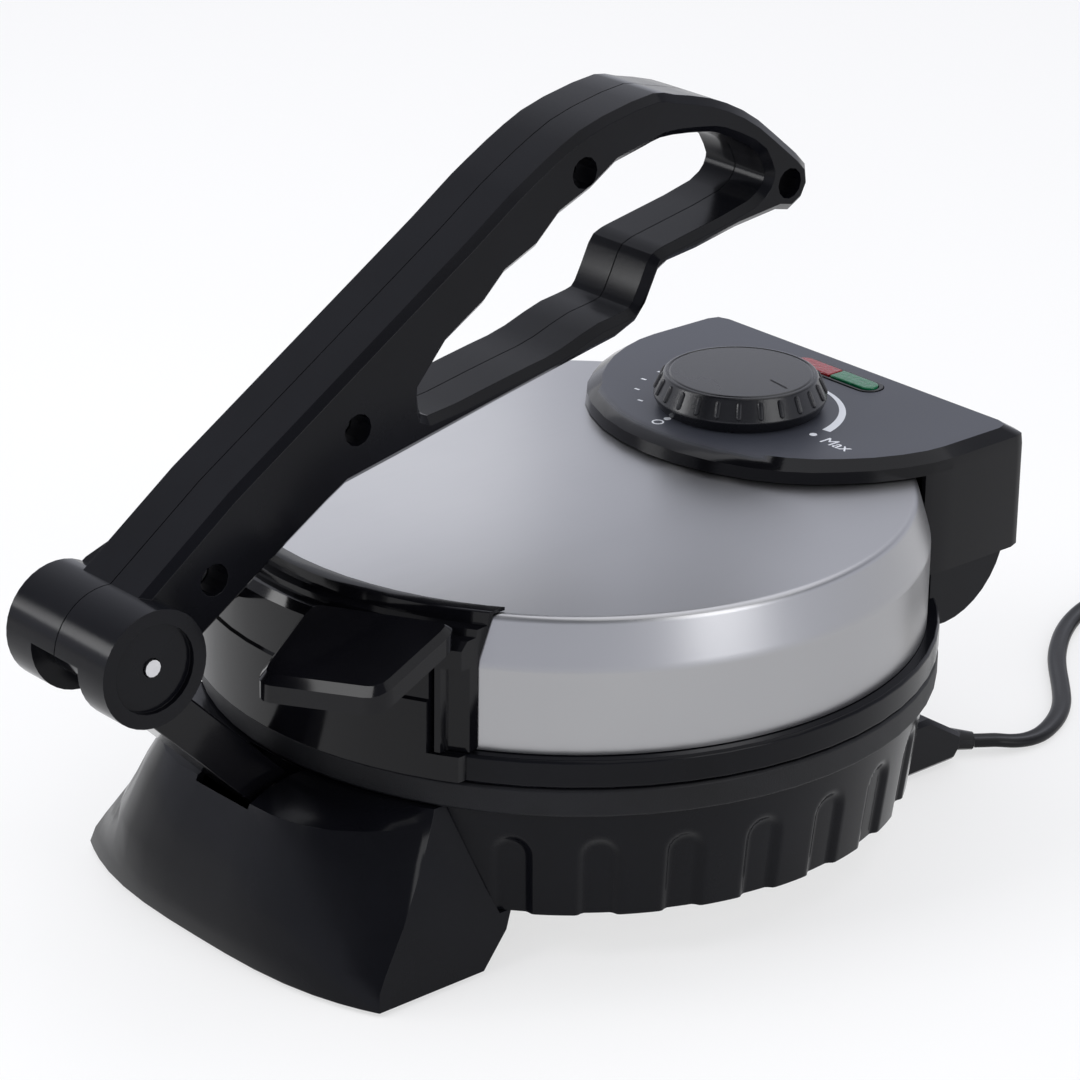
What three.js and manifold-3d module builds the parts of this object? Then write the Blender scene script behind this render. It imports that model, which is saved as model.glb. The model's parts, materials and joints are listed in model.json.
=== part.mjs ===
// A countertop tortilla maker: a base with a heated plate, a hinged lid with the second plate, and a pressing lever on
// a link arm. Millimetres, +Z up. The user stands at -Y, the hinge is at +Y.
// Inside the machine group x = y = 0 is the plates' axis and z = 0 is the plane where lid and base meet.
import * as THREE from 'three';
import { mergeVertices } from 'three/addons/utils/BufferGeometryUtils.js';
import Module from 'manifold-3d';

const wasm = await Module();
wasm.setup();

// Clearances, and how far a cut runs past what it cuts
const gap = 0.3;
const pinGap = 0.3;
const partingGap = 0.3;
const overrun = 5;

// Round counts
const ringSegments = 60;
const wallSegments = 44;
const barrelSegments = 26;
const pinSegments = 12;
const bendSegments = 2;
const flutedSegments = 84;
const housingSegments = 72;
const knobSegments = 24;
const elementSteps = 24;
const elementSides = 6;

// Plates, rings and what lies behind the plates. Everything round follows the plate.
const plateRadius = 101.6;
const plateThickness = 5.4;
const plateRecess = 0.5;
const plateRoom = 1.4;
const ledgeWidth = 5.6;
const ringRim = 14.4;
const ringHeight = 9;
const ringBevel = 0.8;
const reflectorRoom = 6;
const reflectorDepth = 13;
const elementInset = 29.6;
const elementThickness = 6.6;
const elementOpeningAngle = 52;
const sheet = 1;
const ringRadius = plateRadius + ringRim;
const ringBore = plateRadius + plateRoom;
const ledgeRadius = plateRadius - ledgeWidth;
const reflectorRadius = ledgeRadius - reflectorRoom;
const elementRadius = plateRadius - elementInset;

// Base bowl, its flutes and its cover
const bowlStep = 3;
const bowlTaper = 4.4;
const bowlDrop = 44.5;
const bowlWall = 5.6;
const flutes = 27;
const fluteWidth = 13.4;
const fluteTop = 17.5;
const fluteDepth = 1.7;
const coverThickness = 2.5;
const coverScrewRadius = 1.8;
const coverScrewHead = 3.6;
const coverScrewInset = 12.6;
const coverScrewAngle = 40;
const coverBossRadius = 5;
const coverBossHeight = 14;
const ventLength = 46;
const ventWidth = 4;
const vents = 5;
const ventPitch = 11;
const bowlTopRadius = ringRadius - bowlStep;
const bowlFootRadius = bowlTopRadius - bowlTaper;
const coverScrewCircle = bowlFootRadius - coverScrewInset;

// Feet
const footDrop = 59.1;
const padRadius = 6.5;
const padProud = 1.5;
const footHalfWidth = 71.3;
const footWall = 3;
const footBury = 10.1;
const footToeStep = 13;
const footPlateThickness = 2.4;
const padX = 50;
const frontPadReach = 8;
const rearFootHalfWidth = 62;
const rearFootReach = 10;
const rearFootHeel = 3.2;
const rearFootToe = 25.6;
const rearFootDepth = 30.6;
const rearFootLap = 3.5;
const rearFootBrow = 6;
const rearFootHeelRise = 4;
const rearPadInset = 17.6;
const frontPadY = ringRadius + frontPadReach;
const rearFootBack = bowlFootRadius + rearFootReach;
const rearPadY = rearFootBack - rearPadInset;

// Steel cover of the lid
const steelStep = 4;
const steelLean = 4.3;
const steelShoulder = 37.2;
const steelTop = 50.2;
const steelThickness = 1.2;
const steelBend = 4;
const steelTopBend = 1.5;
const steelRadius = ringRadius - steelStep;
const steelTopRadius = steelRadius - steelLean;

// Front housing of the lid and its lift tabs
const housingHalfWidth = 64.5;
const housingProud = 2.6;
const housingHem = 1;
const flangeLap = 3;
const flangeThickness = 1.3;
const ridgeProud = 1.7;
const housingStep = 5.4;
const housingStepDrop = 3;
const housingShelfDrop = 5.6;
const housingSkin = 2.6;
const housingSeam = 25;
const housingSeamStep = 0.8;
const recessWidth = 8.5;
const recessHead = 8.6;
const recessDepth = 0.8;
const recessRib = 1.6;
const tabThickness = 7.4;
const tabSlopeShare = 0.4;
const tabBevel = 2;
const housingRadius = ringRadius + housingProud;
const housingFlangeRadius = steelTopRadius - flangeLap;
const housingFlangeTop = steelTop + flangeThickness;
const housingRidgeRadius = steelTopRadius + ridgeProud;
const housingStepRadius = housingRadius - housingStep;
const housingStepTop = steelTop - housingStepDrop;
const housingShelfTop = steelTop - housingShelfDrop;
const recessInner = housingHalfWidth - recessWidth;
const recessTop = housingShelfTop - recessHead;
const recessRadius = ringRadius - recessDepth;

// Hinge at the back
const hingeInset = 16.7;
const hingeZ = 23.5;
const hingePinRadius = 3;
const hingeCoverRadius = 27.5;
const hingeCoverWall = 2.5;
const hingeCoverFront = 6.5;
const hingeCoverStartAngle = -97;
const hingeCoverEndAngle = 20;
const hingeBoss = 7;
const bracketHalf = 50;
const bracketThickness = 4;
const bracketFoot = 34;
const bracketDepth = 7.6;
const hingeY = ringRadius - hingeInset;

// Control panel
const panelHalfWidth = 71;
const panelWall = 3.2;
const pinCap = 1.2;
const panelRise = 6.8;
const panelRim = 3.8;
const panelTopWall = 4.4;
const panelReach = 31.7;
const panelBackWall = 1.8;
const panelCorner = 5;
const panelHem = 16.5;
const panelFrontInset = 84.1;
const panelBowLength = 65.1;
const panelSideBevel = 4.2;
const panelFrontBevel = 6.4;
const panelWell = 34;
const openingStep = 12.3;
const openingLap = 1.4;
const panelTop = steelTop + panelRise;
const panelBack = hingeY + panelReach;
const panelFront = ringRadius - panelFrontInset;
const knobInset = 43.5;
const knobY = ringRadius - knobInset;
const lidOpeningFront = knobY + openingStep;
const panelSideFront = lidOpeningFront + openingLap;

// Thermostat and its knob
const knobSkirtRadius = 27.8;
const knobBaseRadius = 26;
const knobTopRadius = 24.4;
const knobHeight = 11.4;
const knobSkirtHeight = 3.6;
const knobRibs = 24;
const knobRibRadius = 1.1;
const knobRibSink = 0.4;
const knobRim = 1.4;
const knobLift = 0.5;
const knobWall = 2.4;
const knobMarkAngle = 20;
const knobMarkStart = 9.3;
const knobMarkEnd = 17.5;
const knobMarkWidth = 1.2;
const knobMarkDepth = 0.9;
const shaftRadius = 3;
const shaftReach = 7;
const thermostatHalf = 15;
const thermostatHeight = 20;
const thermostatNeck = 5;
const knobTop = panelTop + knobHeight;

// Lamps
const lampBack = 14.8;
const lampHalfLength = 19.4;
const lampHalfWidth = 5;
const lampRim = 1.2;
const lensProud = 0.9;
const lensDivide = 0.5;
const holderDepth = 7.8;
const holderWall = 1.4;
const lampY = panelBack - lampBack;

// Hub, link arm and lever
const hubStep = 59.6;
const hubHeight = 44.6;
const hubRadius = 17.8;
const hubHalf = 23.6;
const hubDish = 13.4;
const hubDishDepth = 1.8;
const sleeveRadius = 7;
const sleeveHalf = 18.6;
const hubPinRadius = 2.6;
const hubPinHalf = 22.6;
const linkAngle = 45;
const linkHalf = 9;
const linkEye = 12;
const linkLow = 11.9;
const linkHigh = 1.5;
const linkNeckLow = 3.6;
const linkNeckEnd = 19.2;
const linkLength = 80;
const linkPinRadius = 2.5;
const linkPinHalf = 19.5;
const slotHalf = 12.6;
const slotLow = 2.8;
const slotHigh = 3;
const slotBack = 30.7;
const pivotBoss = 5.2;
const windowHalf = 11.3;
const windowStartAngle = -24.5;
const windowEndAngle = -184;
const leverLength = 251.3;
const leverRise = 128.3;
const leverHalf = 15.5;
const leverBevel = 2.3;
const leverSkin = 2.8;
const noseRadius = 9.5;
const noseStartAngle = -80;
const noseEndAngle = 62;
const leverScrewHead = 4.9;
const leverScrewSeat = 3;
const leverScrewRadius = 1.6;
const leverScrewTip = 9;
const leverBoss = 7;
const gussetReach = 46;
const gussetLow = -9;
const gussetHigh = 8;
const armAngle = 33.5;
const hubReach = ringRadius + hubStep;

// Cord, strain relief, coil, tie and plug
const cordWidth = 6.5;
const cordThickness = 3.3;
const reliefLength = 14;
const reliefRadius = 4.8;
const reliefFlatShare = 0.78;
const reliefCollar = 6.4;
const reliefCollarLength = 2.2;
const reliefX = 50.6;
const reliefInset = 3;
const reliefHigh = 3.9;
const reliefDrop = 1.5;
const reliefHeadingAngle = 54;
const reliefY = rearFootBack - reliefInset;
const reliefZ = -footDrop + reliefHigh;
const coilX = 45;
const coilY = 275;
const coilRadius = 41;
const coilPitch = 7.4;
const coilLayer = 4.2;
const coilTurns = 3.5;
const coilSteps = 24;
const climbStartShare = 0.21;
const climbEndShare = 0.17;
const tieThickness = 0.8;
const tieWidth = 6;
const plugLead = 20;
const plugLength = 34;
const plugHalfWidth = 9.5;
const plugHalfHeight = 6.7;
const plugNeckLength = 12;
const plugBevel = 1;
const bladeLength = 17;
const bladeHeight = 6.3;
const bladeThickness = 1.5;
const bladeHalfSpacing = 6.35;

// The model's frame: the origin is under the middle of the object's box without the cord
const reachFront = hubReach + hubRadius;
const plateAxisY = (reachFront - panelBack) / 2;
const floorZ = -(footDrop + padProud);

// The front foot's outline at each height: its depth as a share of the foot's drop, its half width as a share of the
// foot's half width, how far forward its side edge and its middle lie as shares of the ring radius, and the power of
// its bow, which is squarer when it is larger
const footShares = [
  [0.1590, 0.799, 0.880, 1.045, 2.0],
  [0.1865, 0.806, 0.886, 1.110, 3.0],
  [0.2375, 0.818, 0.900, 1.168, 4.0],
  [0.3886, 0.854, 0.945, 1.203, 4.4],
  [0.6595, 0.919, 1.042, 1.259, 4.0],
  [0.8460, 0.964, 1.122, 1.272, 3.2],
  [0.9147, 0.980, 1.148, 1.271, 3.0],
  [1.0000, 1.000, 1.158, 1.263, 3.0],
];
const bowSteps = 8;

// The lift tab's corners, as shares of the ring radius: back inner, front inner, front outer, back outer
const tabShares = [[0.124, 0.976], [0.224, 1.238], [0.575, 1.122], [0.552, 0.850]];
const tabRoundShare = 0.05;

// The control panel's front edge from its side to its middle: shares of its half width and of the bow's length
const bowShares = [[1, 1], [0.989, 0.877], [0.951, 0.731], [0.890, 0.578], [0.817, 0.450], [0.735, 0.330],
  [0.640, 0.232], [0.517, 0.143], [0.345, 0.060], [0.172, 0.014], [0, 0]];

// The lever seen from its right side. Points are shares of its length forward of the hub and of its rise above it.
const underArmShares = [[0.038, -0.055], [0.091, -0.002], [0.143, 0.064], [0.207, 0.146], [0.274, 0.228], [0.303, 0.261]];
const underBarShares = [[0.378, 0.290], [0.530, 0.352], [0.688, 0.413]];
const stepShares = [[0.720, 0.425], [0.752, 0.451], [0.768, 0.487], [0.778, 0.526], [0.787, 0.562], [0.803, 0.580],
  [0.850, 0.592]];
const barEndShares = [[0.916, 0.618], [0.985, 0.634]];
const noseShare = [1.0, 0.698];
const palmShares = [[0.994, 0.802], [0.937, 0.890], [0.875, 0.950], [0.809, 0.985], [0.767, 1.000], [0.673, 0.965],
  [0.611, 0.911], [0.550, 0.842]];
const topShares = [[0.489, 0.761], [0.399, 0.649], [0.281, 0.500], [0.136, 0.320], [0.066, 0.220], [0.006, 0.134]];
const loopLowShares = [[0.413, 0.389], [0.435, 0.365], [0.561, 0.407], [0.624, 0.428], [0.687, 0.468], [0.733, 0.482],
  [0.749, 0.502], [0.772, 0.592], [0.787, 0.612], [0.812, 0.624], [0.929, 0.670], [0.960, 0.706], [0.965, 0.736]];
const loopPalmShares = [[0.946, 0.800], [0.889, 0.860], [0.852, 0.878], [0.794, 0.889], [0.762, 0.878]];
const scallopShares = [
  [[0.728, 0.880], [0.698, 0.843], [0.675, 0.808]],
  [[0.640, 0.800], [0.605, 0.740], [0.590, 0.703]],
  [[0.556, 0.695], [0.521, 0.631], [0.509, 0.600]],
  [[0.470, 0.590], [0.431, 0.489], [0.411, 0.440]],
];
const leverPocketShares = [[0.130, 0.085], [0.289, 0.284], [0.380, 0.334], [0.392, 0.424], [0.414, 0.510],
  [0.452, 0.599], [0.500, 0.650], [0.540, 0.728], [0.567, 0.755], [0.548, 0.806], [0.489, 0.728], [0.399, 0.617],
  [0.281, 0.468], [0.136, 0.285], [0.106, 0.241], [0.094, 0.167]];
const leverScrewShares = [[0.108, 0.133], [0.316, 0.387], [0.659, 0.856], [1.0, 0.698]];

// The cord's section, as shares of its half thickness and half width
const cordSectionShares = [[0, 1], [1, 0.52], [1, -0.52], [0, -1], [-1, -0.52], [-1, 0.52]];

// Where the free cord runs, from the strain relief to the coil, in the machine's frame
const cordRoute = [
  [59.0, 127.2, -56.75],
  [61.2, 130.2, -56.75],
  [63.1, 132.85, -56.75],
  [64.4, 134.75, -56.95],
  [66.3, 138.8, -57.7],
  [67.6, 144.5, -58.3],
  [67.2, 151.5, -58.55],
  [64.3, 160.0, -58.6],
  [60.2, 167.8, -58.6],
  [55.0, 175.0, -58.6],
  [49.0, 181.5, -58.6],
  [42.4, 188.0, -58.6],
  [35.6, 194.6, -58.6],
  [29.0, 201.6, -58.6],
  [22.8, 209.4, -58.6],
  [17.2, 217.6, -58.6],
  [12.4, 226.2, -58.6],
  [8.6, 235.2, -58.55],
  [6.0, 244.4, -58.5],
  [4.6, 253.6, -58.2],
  [4.05, 262.0, -57.9],
  [4.0, 268.4, -57.85],
];

const colours = {
  black: [0x17181c, 0.34, 0],
  textured: [0x26282b, 0.62, 0],
  gloss: [0x101114, 0.16, 0],
  steel: [0xb9b7b5, 0.32, 1],
  cast: [0x3a3b3d, 0.55, 0.6],
  zinc: [0xa7a9ac, 0.4, 1],
  rubber: [0x141414, 0.85, 0],
  ceramic: [0xd9d2c2, 0.7, 0],
  red: [0xc81e22, 0.2, 0],
  green: [0x0f9a4c, 0.2, 0],
  brass: [0xc9a552, 0.3, 1],
};

const machine = new THREE.Group();
machine.position.set(0, plateAxisY, -floorZ);
const frontOfHub = new THREE.Group();
frontOfHub.position.set(0, -hubReach, hubHeight);
machine.add(frontOfHub);
const linkFrame = new THREE.Group();
linkFrame.rotation.x = -rad(linkAngle);
frontOfHub.add(linkFrame);

function rad(degrees) {
  return THREE.MathUtils.degToRad(degrees);
}

// Solids from geometry and back
function signedVolume(positions, triangles) {
  let sum = 0;
  const a = new THREE.Vector3();
  const b = new THREE.Vector3();
  const c = new THREE.Vector3();
  for (let i = 0; i < triangles.length; i += 3) {
    a.fromArray(positions, triangles[i] * 3);
    b.fromArray(positions, triangles[i + 1] * 3);
    c.fromArray(positions, triangles[i + 2] * 3);
    sum += a.dot(b.cross(c));
  }
  return sum;
}

function solid(geometry) {
  const bare = geometry.clone();
  bare.deleteAttribute('normal');
  bare.deleteAttribute('uv');
  const merged = mergeVertices(bare, 1e-4);
  const positions = new Float32Array(merged.attributes.position.array);
  const triangles = [];
  const index = merged.index.array;
  for (let i = 0; i < index.length; i += 3) {
    const [p, q, r] = [index[i], index[i + 1], index[i + 2]];
    if (p !== q && q !== r && r !== p) triangles.push(p, q, r);
  }
  if (signedVolume(positions, triangles) < 0) triangles.reverse();
  return new wasm.Manifold(new wasm.Mesh({
    numProp: 3, vertProperties: positions, triVerts: new Uint32Array(triangles),
  }));
}

function addPiece(name, body, look, parent = machine) {
  const mesh = body.getMesh();
  const geometry = new THREE.BufferGeometry();
  geometry.setAttribute('position', new THREE.BufferAttribute(new Float32Array(mesh.vertProperties), 3));
  geometry.setIndex(new THREE.BufferAttribute(new Uint32Array(mesh.triVerts), 1));
  geometry.computeVertexNormals();
  const [color, roughness, metalness] = colours[look];
  const piece = new THREE.Mesh(geometry, new THREE.MeshStandardMaterial({ color, roughness, metalness }));
  piece.name = name;
  parent.add(piece);
}

// Simple forms
function block(x0, x1, y0, y1, z0, z1) {
  const geometry = new THREE.BoxGeometry(x1 - x0, y1 - y0, z1 - z0);
  geometry.translate((x0 + x1) / 2, (y0 + y1) / 2, (z0 + z1) / 2);
  return solid(geometry);
}

function turned(profile, segments = ringSegments) {
  const points = profile.map(([r, z]) => new THREE.Vector2(r, z));
  if (profile[0][0] > 0) points.push(points[0].clone());
  const geometry = new THREE.LatheGeometry(points, segments);
  geometry.rotateX(Math.PI / 2);
  return solid(geometry);
}

function disc(radius, z0, z1, segments = ringSegments) {
  return turned([[0, z0], [radius, z0], [radius, z1], [0, z1]], segments);
}

function moved(body, x, y, z) {
  return body.translate([x, y, z]);
}

function post(x, y, radius, z0, z1, segments = pinSegments) {
  return moved(disc(radius, z0, z1, segments), x, y, 0);
}

function rod(y, z, radius, x0, x1, segments = pinSegments) {
  const geometry = new THREE.CylinderGeometry(radius, radius, x1 - x0, segments);
  geometry.rotateZ(Math.PI / 2);
  geometry.translate((x0 + x1) / 2, y, z);
  return solid(geometry);
}

function sectorPoints(y, z, radius, from, to, steps) {
  const points = [];
  for (let i = 0; i <= steps; i += 1) {
    const a = rad(from + (to - from) * i / steps);
    points.push([y + radius * Math.cos(a), z + radius * Math.sin(a)]);
  }
  return points;
}

function outline(points) {
  return new THREE.Shape(points.map(([a, b]) => new THREE.Vector2(a, b)));
}

// A side view, in y and z, made thick along x
function sideways(shape, x0, x1, bevel = 0, curveSegments = bendSegments) {
  const geometry = new THREE.ExtrudeGeometry(shape, {
    depth: x1 - x0 - 2 * bevel,
    bevelEnabled: bevel > 0,
    bevelThickness: bevel,
    bevelSize: bevel,
    bevelOffset: -bevel,
    bevelSegments: 1,
    curveSegments,
  });
  geometry.applyMatrix4(new THREE.Matrix4().set(0, 0, 1, x0 + bevel, 1, 0, 0, 0, 0, 1, 0, 0, 0, 0, 0, 1));
  return solid(geometry);
}

// A plan, in x and y, made thick along z
function upright(shape, z0, z1, bevel = 0, curveSegments = bendSegments) {
  const geometry = new THREE.ExtrudeGeometry(shape, {
    depth: z1 - z0 - 2 * bevel,
    bevelEnabled: bevel > 0,
    bevelThickness: bevel,
    bevelSize: bevel,
    bevelOffset: -bevel,
    bevelSegments: 1,
    curveSegments,
  });
  geometry.translate(0, 0, z0 + bevel);
  return solid(geometry);
}

// A body through rows of points, each row below the one before it
function lofted(given) {
  const clockwise = THREE.ShapeUtils.isClockWise(given[0].map(([x, y]) => new THREE.Vector2(x, y)));
  const rows = clockwise ? given.map((row) => [...row].reverse()) : given;
  const count = rows[0].length;
  const positions = rows.flat(2);
  const index = [];
  for (let i = 0; i + 1 < rows.length; i += 1) {
    for (let j = 0; j < count; j += 1) {
      const k = (j + 1) % count;
      const [a, b, c, d] = [i * count + j, i * count + k, (i + 1) * count + k, (i + 1) * count + j];
      index.push(a, c, b, a, d, c);
    }
  }
  for (const i of [0, rows.length - 1]) {
    const cap = THREE.ShapeUtils.triangulateShape(rows[i].map(([x, y]) => new THREE.Vector2(x, y)), []);
    for (const [a, b, c] of cap) {
      const corner = [a, b, c].map((k) => i * count + k);
      index.push(...(i === 0 ? corner : corner.reverse()));
    }
  }
  const geometry = new THREE.BufferGeometry();
  geometry.setAttribute('position', new THREE.BufferAttribute(new Float32Array(positions), 3));
  geometry.setIndex(index);
  return solid(geometry);
}

// Base: bowl with flutes, ring, plate, element, tray and bottom cover
function bowlRadiusAt(z) {
  const share = (-z - ringHeight) / (bowlDrop - ringHeight);
  return bowlTopRadius + (bowlFootRadius - bowlTopRadius) * share;
}

function bowlEnvelope(margin) {
  const top = -ringHeight + overrun;
  const low = -bowlDrop - margin;
  return turned([[0, low], [bowlRadiusAt(low) + margin, low], [bowlRadiusAt(top) + margin, top], [0, top]]);
}

function fluteCutter() {
  const half = fluteWidth / 2;
  const shape = new THREE.Shape();
  shape.moveTo(-half, -bowlDrop - overrun);
  shape.lineTo(half, -bowlDrop - overrun);
  shape.lineTo(half, -fluteTop - half);
  shape.absarc(0, -fluteTop - half, half, 0, Math.PI, false);
  shape.closePath();
  const geometry = new THREE.ExtrudeGeometry(shape, { depth: overrun * 3, bevelEnabled: false, curveSegments: 4 });
  geometry.rotateX(Math.PI / 2);
  geometry.translate(0, bowlFootRadius - fluteDepth + overrun * 3, bowlDrop);
  const lean = (bowlTopRadius - bowlFootRadius) / (bowlDrop - ringHeight);
  geometry.applyMatrix4(new THREE.Matrix4().set(1, 0, 0, 0, 0, 1, lean, 0, 0, 0, 1, 0, 0, 0, 0, 1));
  geometry.translate(0, 0, -bowlDrop);
  return solid(geometry);
}

function screwPlaces() {
  const places = [];
  for (const turn of [coverScrewAngle, 180 - coverScrewAngle, 180 + coverScrewAngle, -coverScrewAngle]) {
    places.push([coverScrewCircle * Math.cos(rad(turn)), coverScrewCircle * Math.sin(rad(turn))]);
  }
  return places;
}

function hingeClearance(radius) {
  const half = panelHalfWidth + 2 * gap;
  return rod(hingeY, hingeZ, radius, -half, half, barrelSegments);
}

function baseBowl() {
  const top = -ringHeight - gap;
  let bowl = turned([
    [bowlFootRadius - bowlWall, -bowlDrop],
    [bowlFootRadius, -bowlDrop],
    [bowlTopRadius, top],
    [bowlTopRadius - bowlWall, top],
  ], flutedSegments);
  const cutter = fluteCutter();
  for (let i = 0; i < flutes; i += 1) {
    const turn = -90 + 360 * i / flutes;
    const behindFoot = Math.abs(Math.cos(rad(turn)) * bowlTopRadius) < footHalfWidth;
    if (!behindFoot) bowl = bowl.subtract(cutter.rotate([0, 0, turn - 90]));
  }
  for (const [x, y] of screwPlaces()) {
    const bossTop = -bowlDrop + coverThickness + coverBossHeight;
    const boss = post(x, y, coverBossRadius, -bowlDrop + coverThickness + gap, bossTop);
    const out = bowlFootRadius - bowlWall + fluteDepth;
    const rib = block(coverScrewCircle, out, -coverBossRadius / 2, coverBossRadius / 2,
      -bowlDrop + coverThickness + gap, bossTop).rotate([0, 0, THREE.MathUtils.radToDeg(Math.atan2(y, x))]);
    const hole = post(x, y, coverScrewRadius + pinGap, -bowlDrop - overrun, bossTop - coverThickness);
    bowl = bowl.add(boss.add(rib)).subtract(hole);
  }
  const sweep = Math.hypot(panelReach, hingeZ - panelHem) + gap;
  return bowl.subtract(hingeClearance(sweep));
}

function ring(sign) {
  const near = sign * partingGap / 2;
  const far = sign * ringHeight;
  const seat = sign * (plateRecess + plateThickness + gap);
  const inner = ringRadius - ringBevel;
  const profile = [
    [ledgeRadius, far],
    [inner, far],
    [ringRadius, far - sign * ringBevel],
    [ringRadius, near + sign * ringBevel],
    [inner, near],
    [ringBore, near],
    [ringBore, seat],
    [ledgeRadius, seat],
  ];
  const cut = panelHalfWidth + gap;
  const behind = block(-cut, cut, lidOpeningFront, ringRadius + overrun, -ringHeight - overrun, ringHeight + overrun);
  return turned(profile).subtract(behind);
}

function plate(sign) {
  return disc(plateRadius, Math.min(sign * plateRecess, sign * (plateRecess + plateThickness)),
    Math.max(sign * plateRecess, sign * (plateRecess + plateThickness)));
}

function element(sign) {
  const height = sign * (plateRecess + plateThickness + gap + elementThickness / 2);
  const arc = new THREE.EllipseCurve(0, 0, elementRadius, elementRadius, rad(90 + elementOpeningAngle / 2),
    rad(450 - elementOpeningAngle / 2));
  const points = arc.getPoints(elementSteps).map((p) => new THREE.Vector3(p.x, p.y, height));
  const path = new THREE.CatmullRomCurve3(points);
  const section = outline(sectorPoints(0, 0, elementThickness / 2, 0, 360 - 360 / elementSides, elementSides - 1));
  return solid(new THREE.ExtrudeGeometry(section, { steps: elementSteps, extrudePath: path }));
}

function reflector(sign) {
  const near = sign * (plateRecess + plateThickness + gap);
  const far = near + sign * reflectorDepth;
  return turned([
    [0, far],
    [reflectorRadius, far],
    [reflectorRadius, near],
    [reflectorRadius - sheet, near],
    [reflectorRadius - sheet, far - sign * sheet],
    [0, far - sign * sheet],
  ], wallSegments);
}

function bottomCover() {
  let cover = disc(bowlFootRadius - bowlWall - gap, -bowlDrop, -bowlDrop + coverThickness, wallSegments);
  for (const [x, y] of screwPlaces()) {
    cover = cover.subtract(post(x, y, coverScrewRadius + pinGap, -bowlDrop - overrun, -bowlDrop + overrun));
  }
  for (let i = 0; i < vents; i += 1) {
    const y = (i - (vents - 1) / 2) * ventPitch;
    cover = cover.subtract(block(-ventLength / 2, ventLength / 2, y - ventWidth / 2, y + ventWidth / 2,
      -bowlDrop - overrun, -bowlDrop + overrun));
  }
  return cover;
}

function coverScrew(x, y) {
  const head = -bowlDrop - gap;
  return post(x, y, coverScrewHead, head - coverThickness, head)
    .add(post(x, y, coverScrewRadius, head - gap, -bowlDrop + coverThickness * 4));
}

// Front foot with its bulge, the slot for the link arm and the pivot pin's bosses
function footRow(shares, inset) {
  const depth = shares[0] * footDrop;
  const half = shares[1] * footHalfWidth - inset;
  const [edge, middle] = [shares[2], shares[3]].map((share) => share * ringRadius - inset);
  const shoulder = Math.sqrt(bowlTopRadius ** 2 - footHalfWidth ** 2) - footBury;
  const toe = Math.sqrt(bowlFootRadius ** 2 - footHalfWidth ** 2) + footToeStep;
  const back = THREE.MathUtils.lerp(shoulder, toe, THREE.MathUtils.clamp(
    (depth - bowlDrop) / (footDrop - bowlDrop), 0, 1));
  const right = [[half, -back - inset]];
  for (let i = 0; i <= bowSteps; i += 1) {
    const share = Math.cos(Math.PI / 2 * i / bowSteps);
    right.push([half * share, -edge - (middle - edge) * (1 - share ** shares[4])]);
  }
  const left = right.slice(0, -1).reverse().map(([x, y]) => [-x, y]);
  return [...right, ...left].map(([x, y]) => [x, y, -depth]);
}

function footBody(inset) {
  const rows = footShares.map((shares) => footRow(shares, inset));
  if (inset > 0) {
    const top = rows[0].map(([x, y, z]) => [x, y, z - inset]);
    const low = rows[rows.length - 1].map(([x, y, z]) => [x, y, z - overrun]);
    return lofted([top, ...rows.slice(2), low]);
  }
  return lofted(rows);
}

function linkPoint(along, above) {
  const a = rad(linkAngle);
  return [
    -hubReach + along * Math.cos(a) + above * Math.sin(a),
    hubHeight - along * Math.sin(a) + above * Math.cos(a),
  ];
}

const pivotDrop = (linkLow - linkHigh) / 2;
const [pivotY, pivotZ] = linkPoint(linkLength, -pivotDrop);
const linkEnd = (linkLow + linkHigh) / 2;

function slotPrism() {
  const near = linkLength - slotBack;
  const far = linkLength + linkEnd + slotHigh;
  const prism = outline([
    linkPoint(near, -linkLow - slotLow),
    linkPoint(far, -linkLow - slotLow),
    linkPoint(far, linkHigh + slotHigh),
    linkPoint(near, linkHigh + slotHigh),
  ]);
  return sideways(prism, -slotHalf, slotHalf);
}

function frontFoot() {
  const shell = footBody(0).subtract(footBody(footWall).subtract(bowlEnvelope(gap + footWall)));
  const bosses = [-1, 1].map((side) => rod(pivotY, pivotZ, pivotBoss, ...[side * slotHalf, side * (linkPinHalf + gap)]
    .sort((a, b) => a - b)).intersect(footBody(0)));
  return shell.add(bosses[0]).add(bosses[1]).subtract(bowlEnvelope(gap)).subtract(slotPrism())
    .subtract(rod(pivotY, pivotZ, linkPinRadius + gap, -linkPinHalf, linkPinHalf))
    .subtract(block(-ringRadius, ringRadius, -ringRadius * 2, 0, -ringHeight - gap, overrun));
}

function footPlate() {
  const body = footBody(footWall + gap);
  const slab = block(-ringRadius, ringRadius, -ringRadius * 2, 0, -footDrop, -footDrop + footPlateThickness);
  return body.intersect(slab);
}

function rearFoot() {
  const top = -bowlDrop + rearFootLap;
  const shape = outline([
    [rearFootBack - rearFootToe, -footDrop],
    [rearFootBack - rearFootHeel, -footDrop],
    [rearFootBack, -footDrop + rearFootHeelRise],
    [rearFootBack, -bowlDrop - rearFootBrow],
    [rearFootBack - rearFootDepth / 2, top],
    [rearFootBack - rearFootDepth, top],
  ]);
  return sideways(shape, -rearFootHalfWidth, rearFootHalfWidth, footWall / 2).subtract(bowlEnvelope(gap))
    .subtract(reliefBody(gap));
}

function footPad(x, y) {
  return post(x, y, padRadius, -footDrop - padProud, -footDrop - gap);
}

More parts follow.
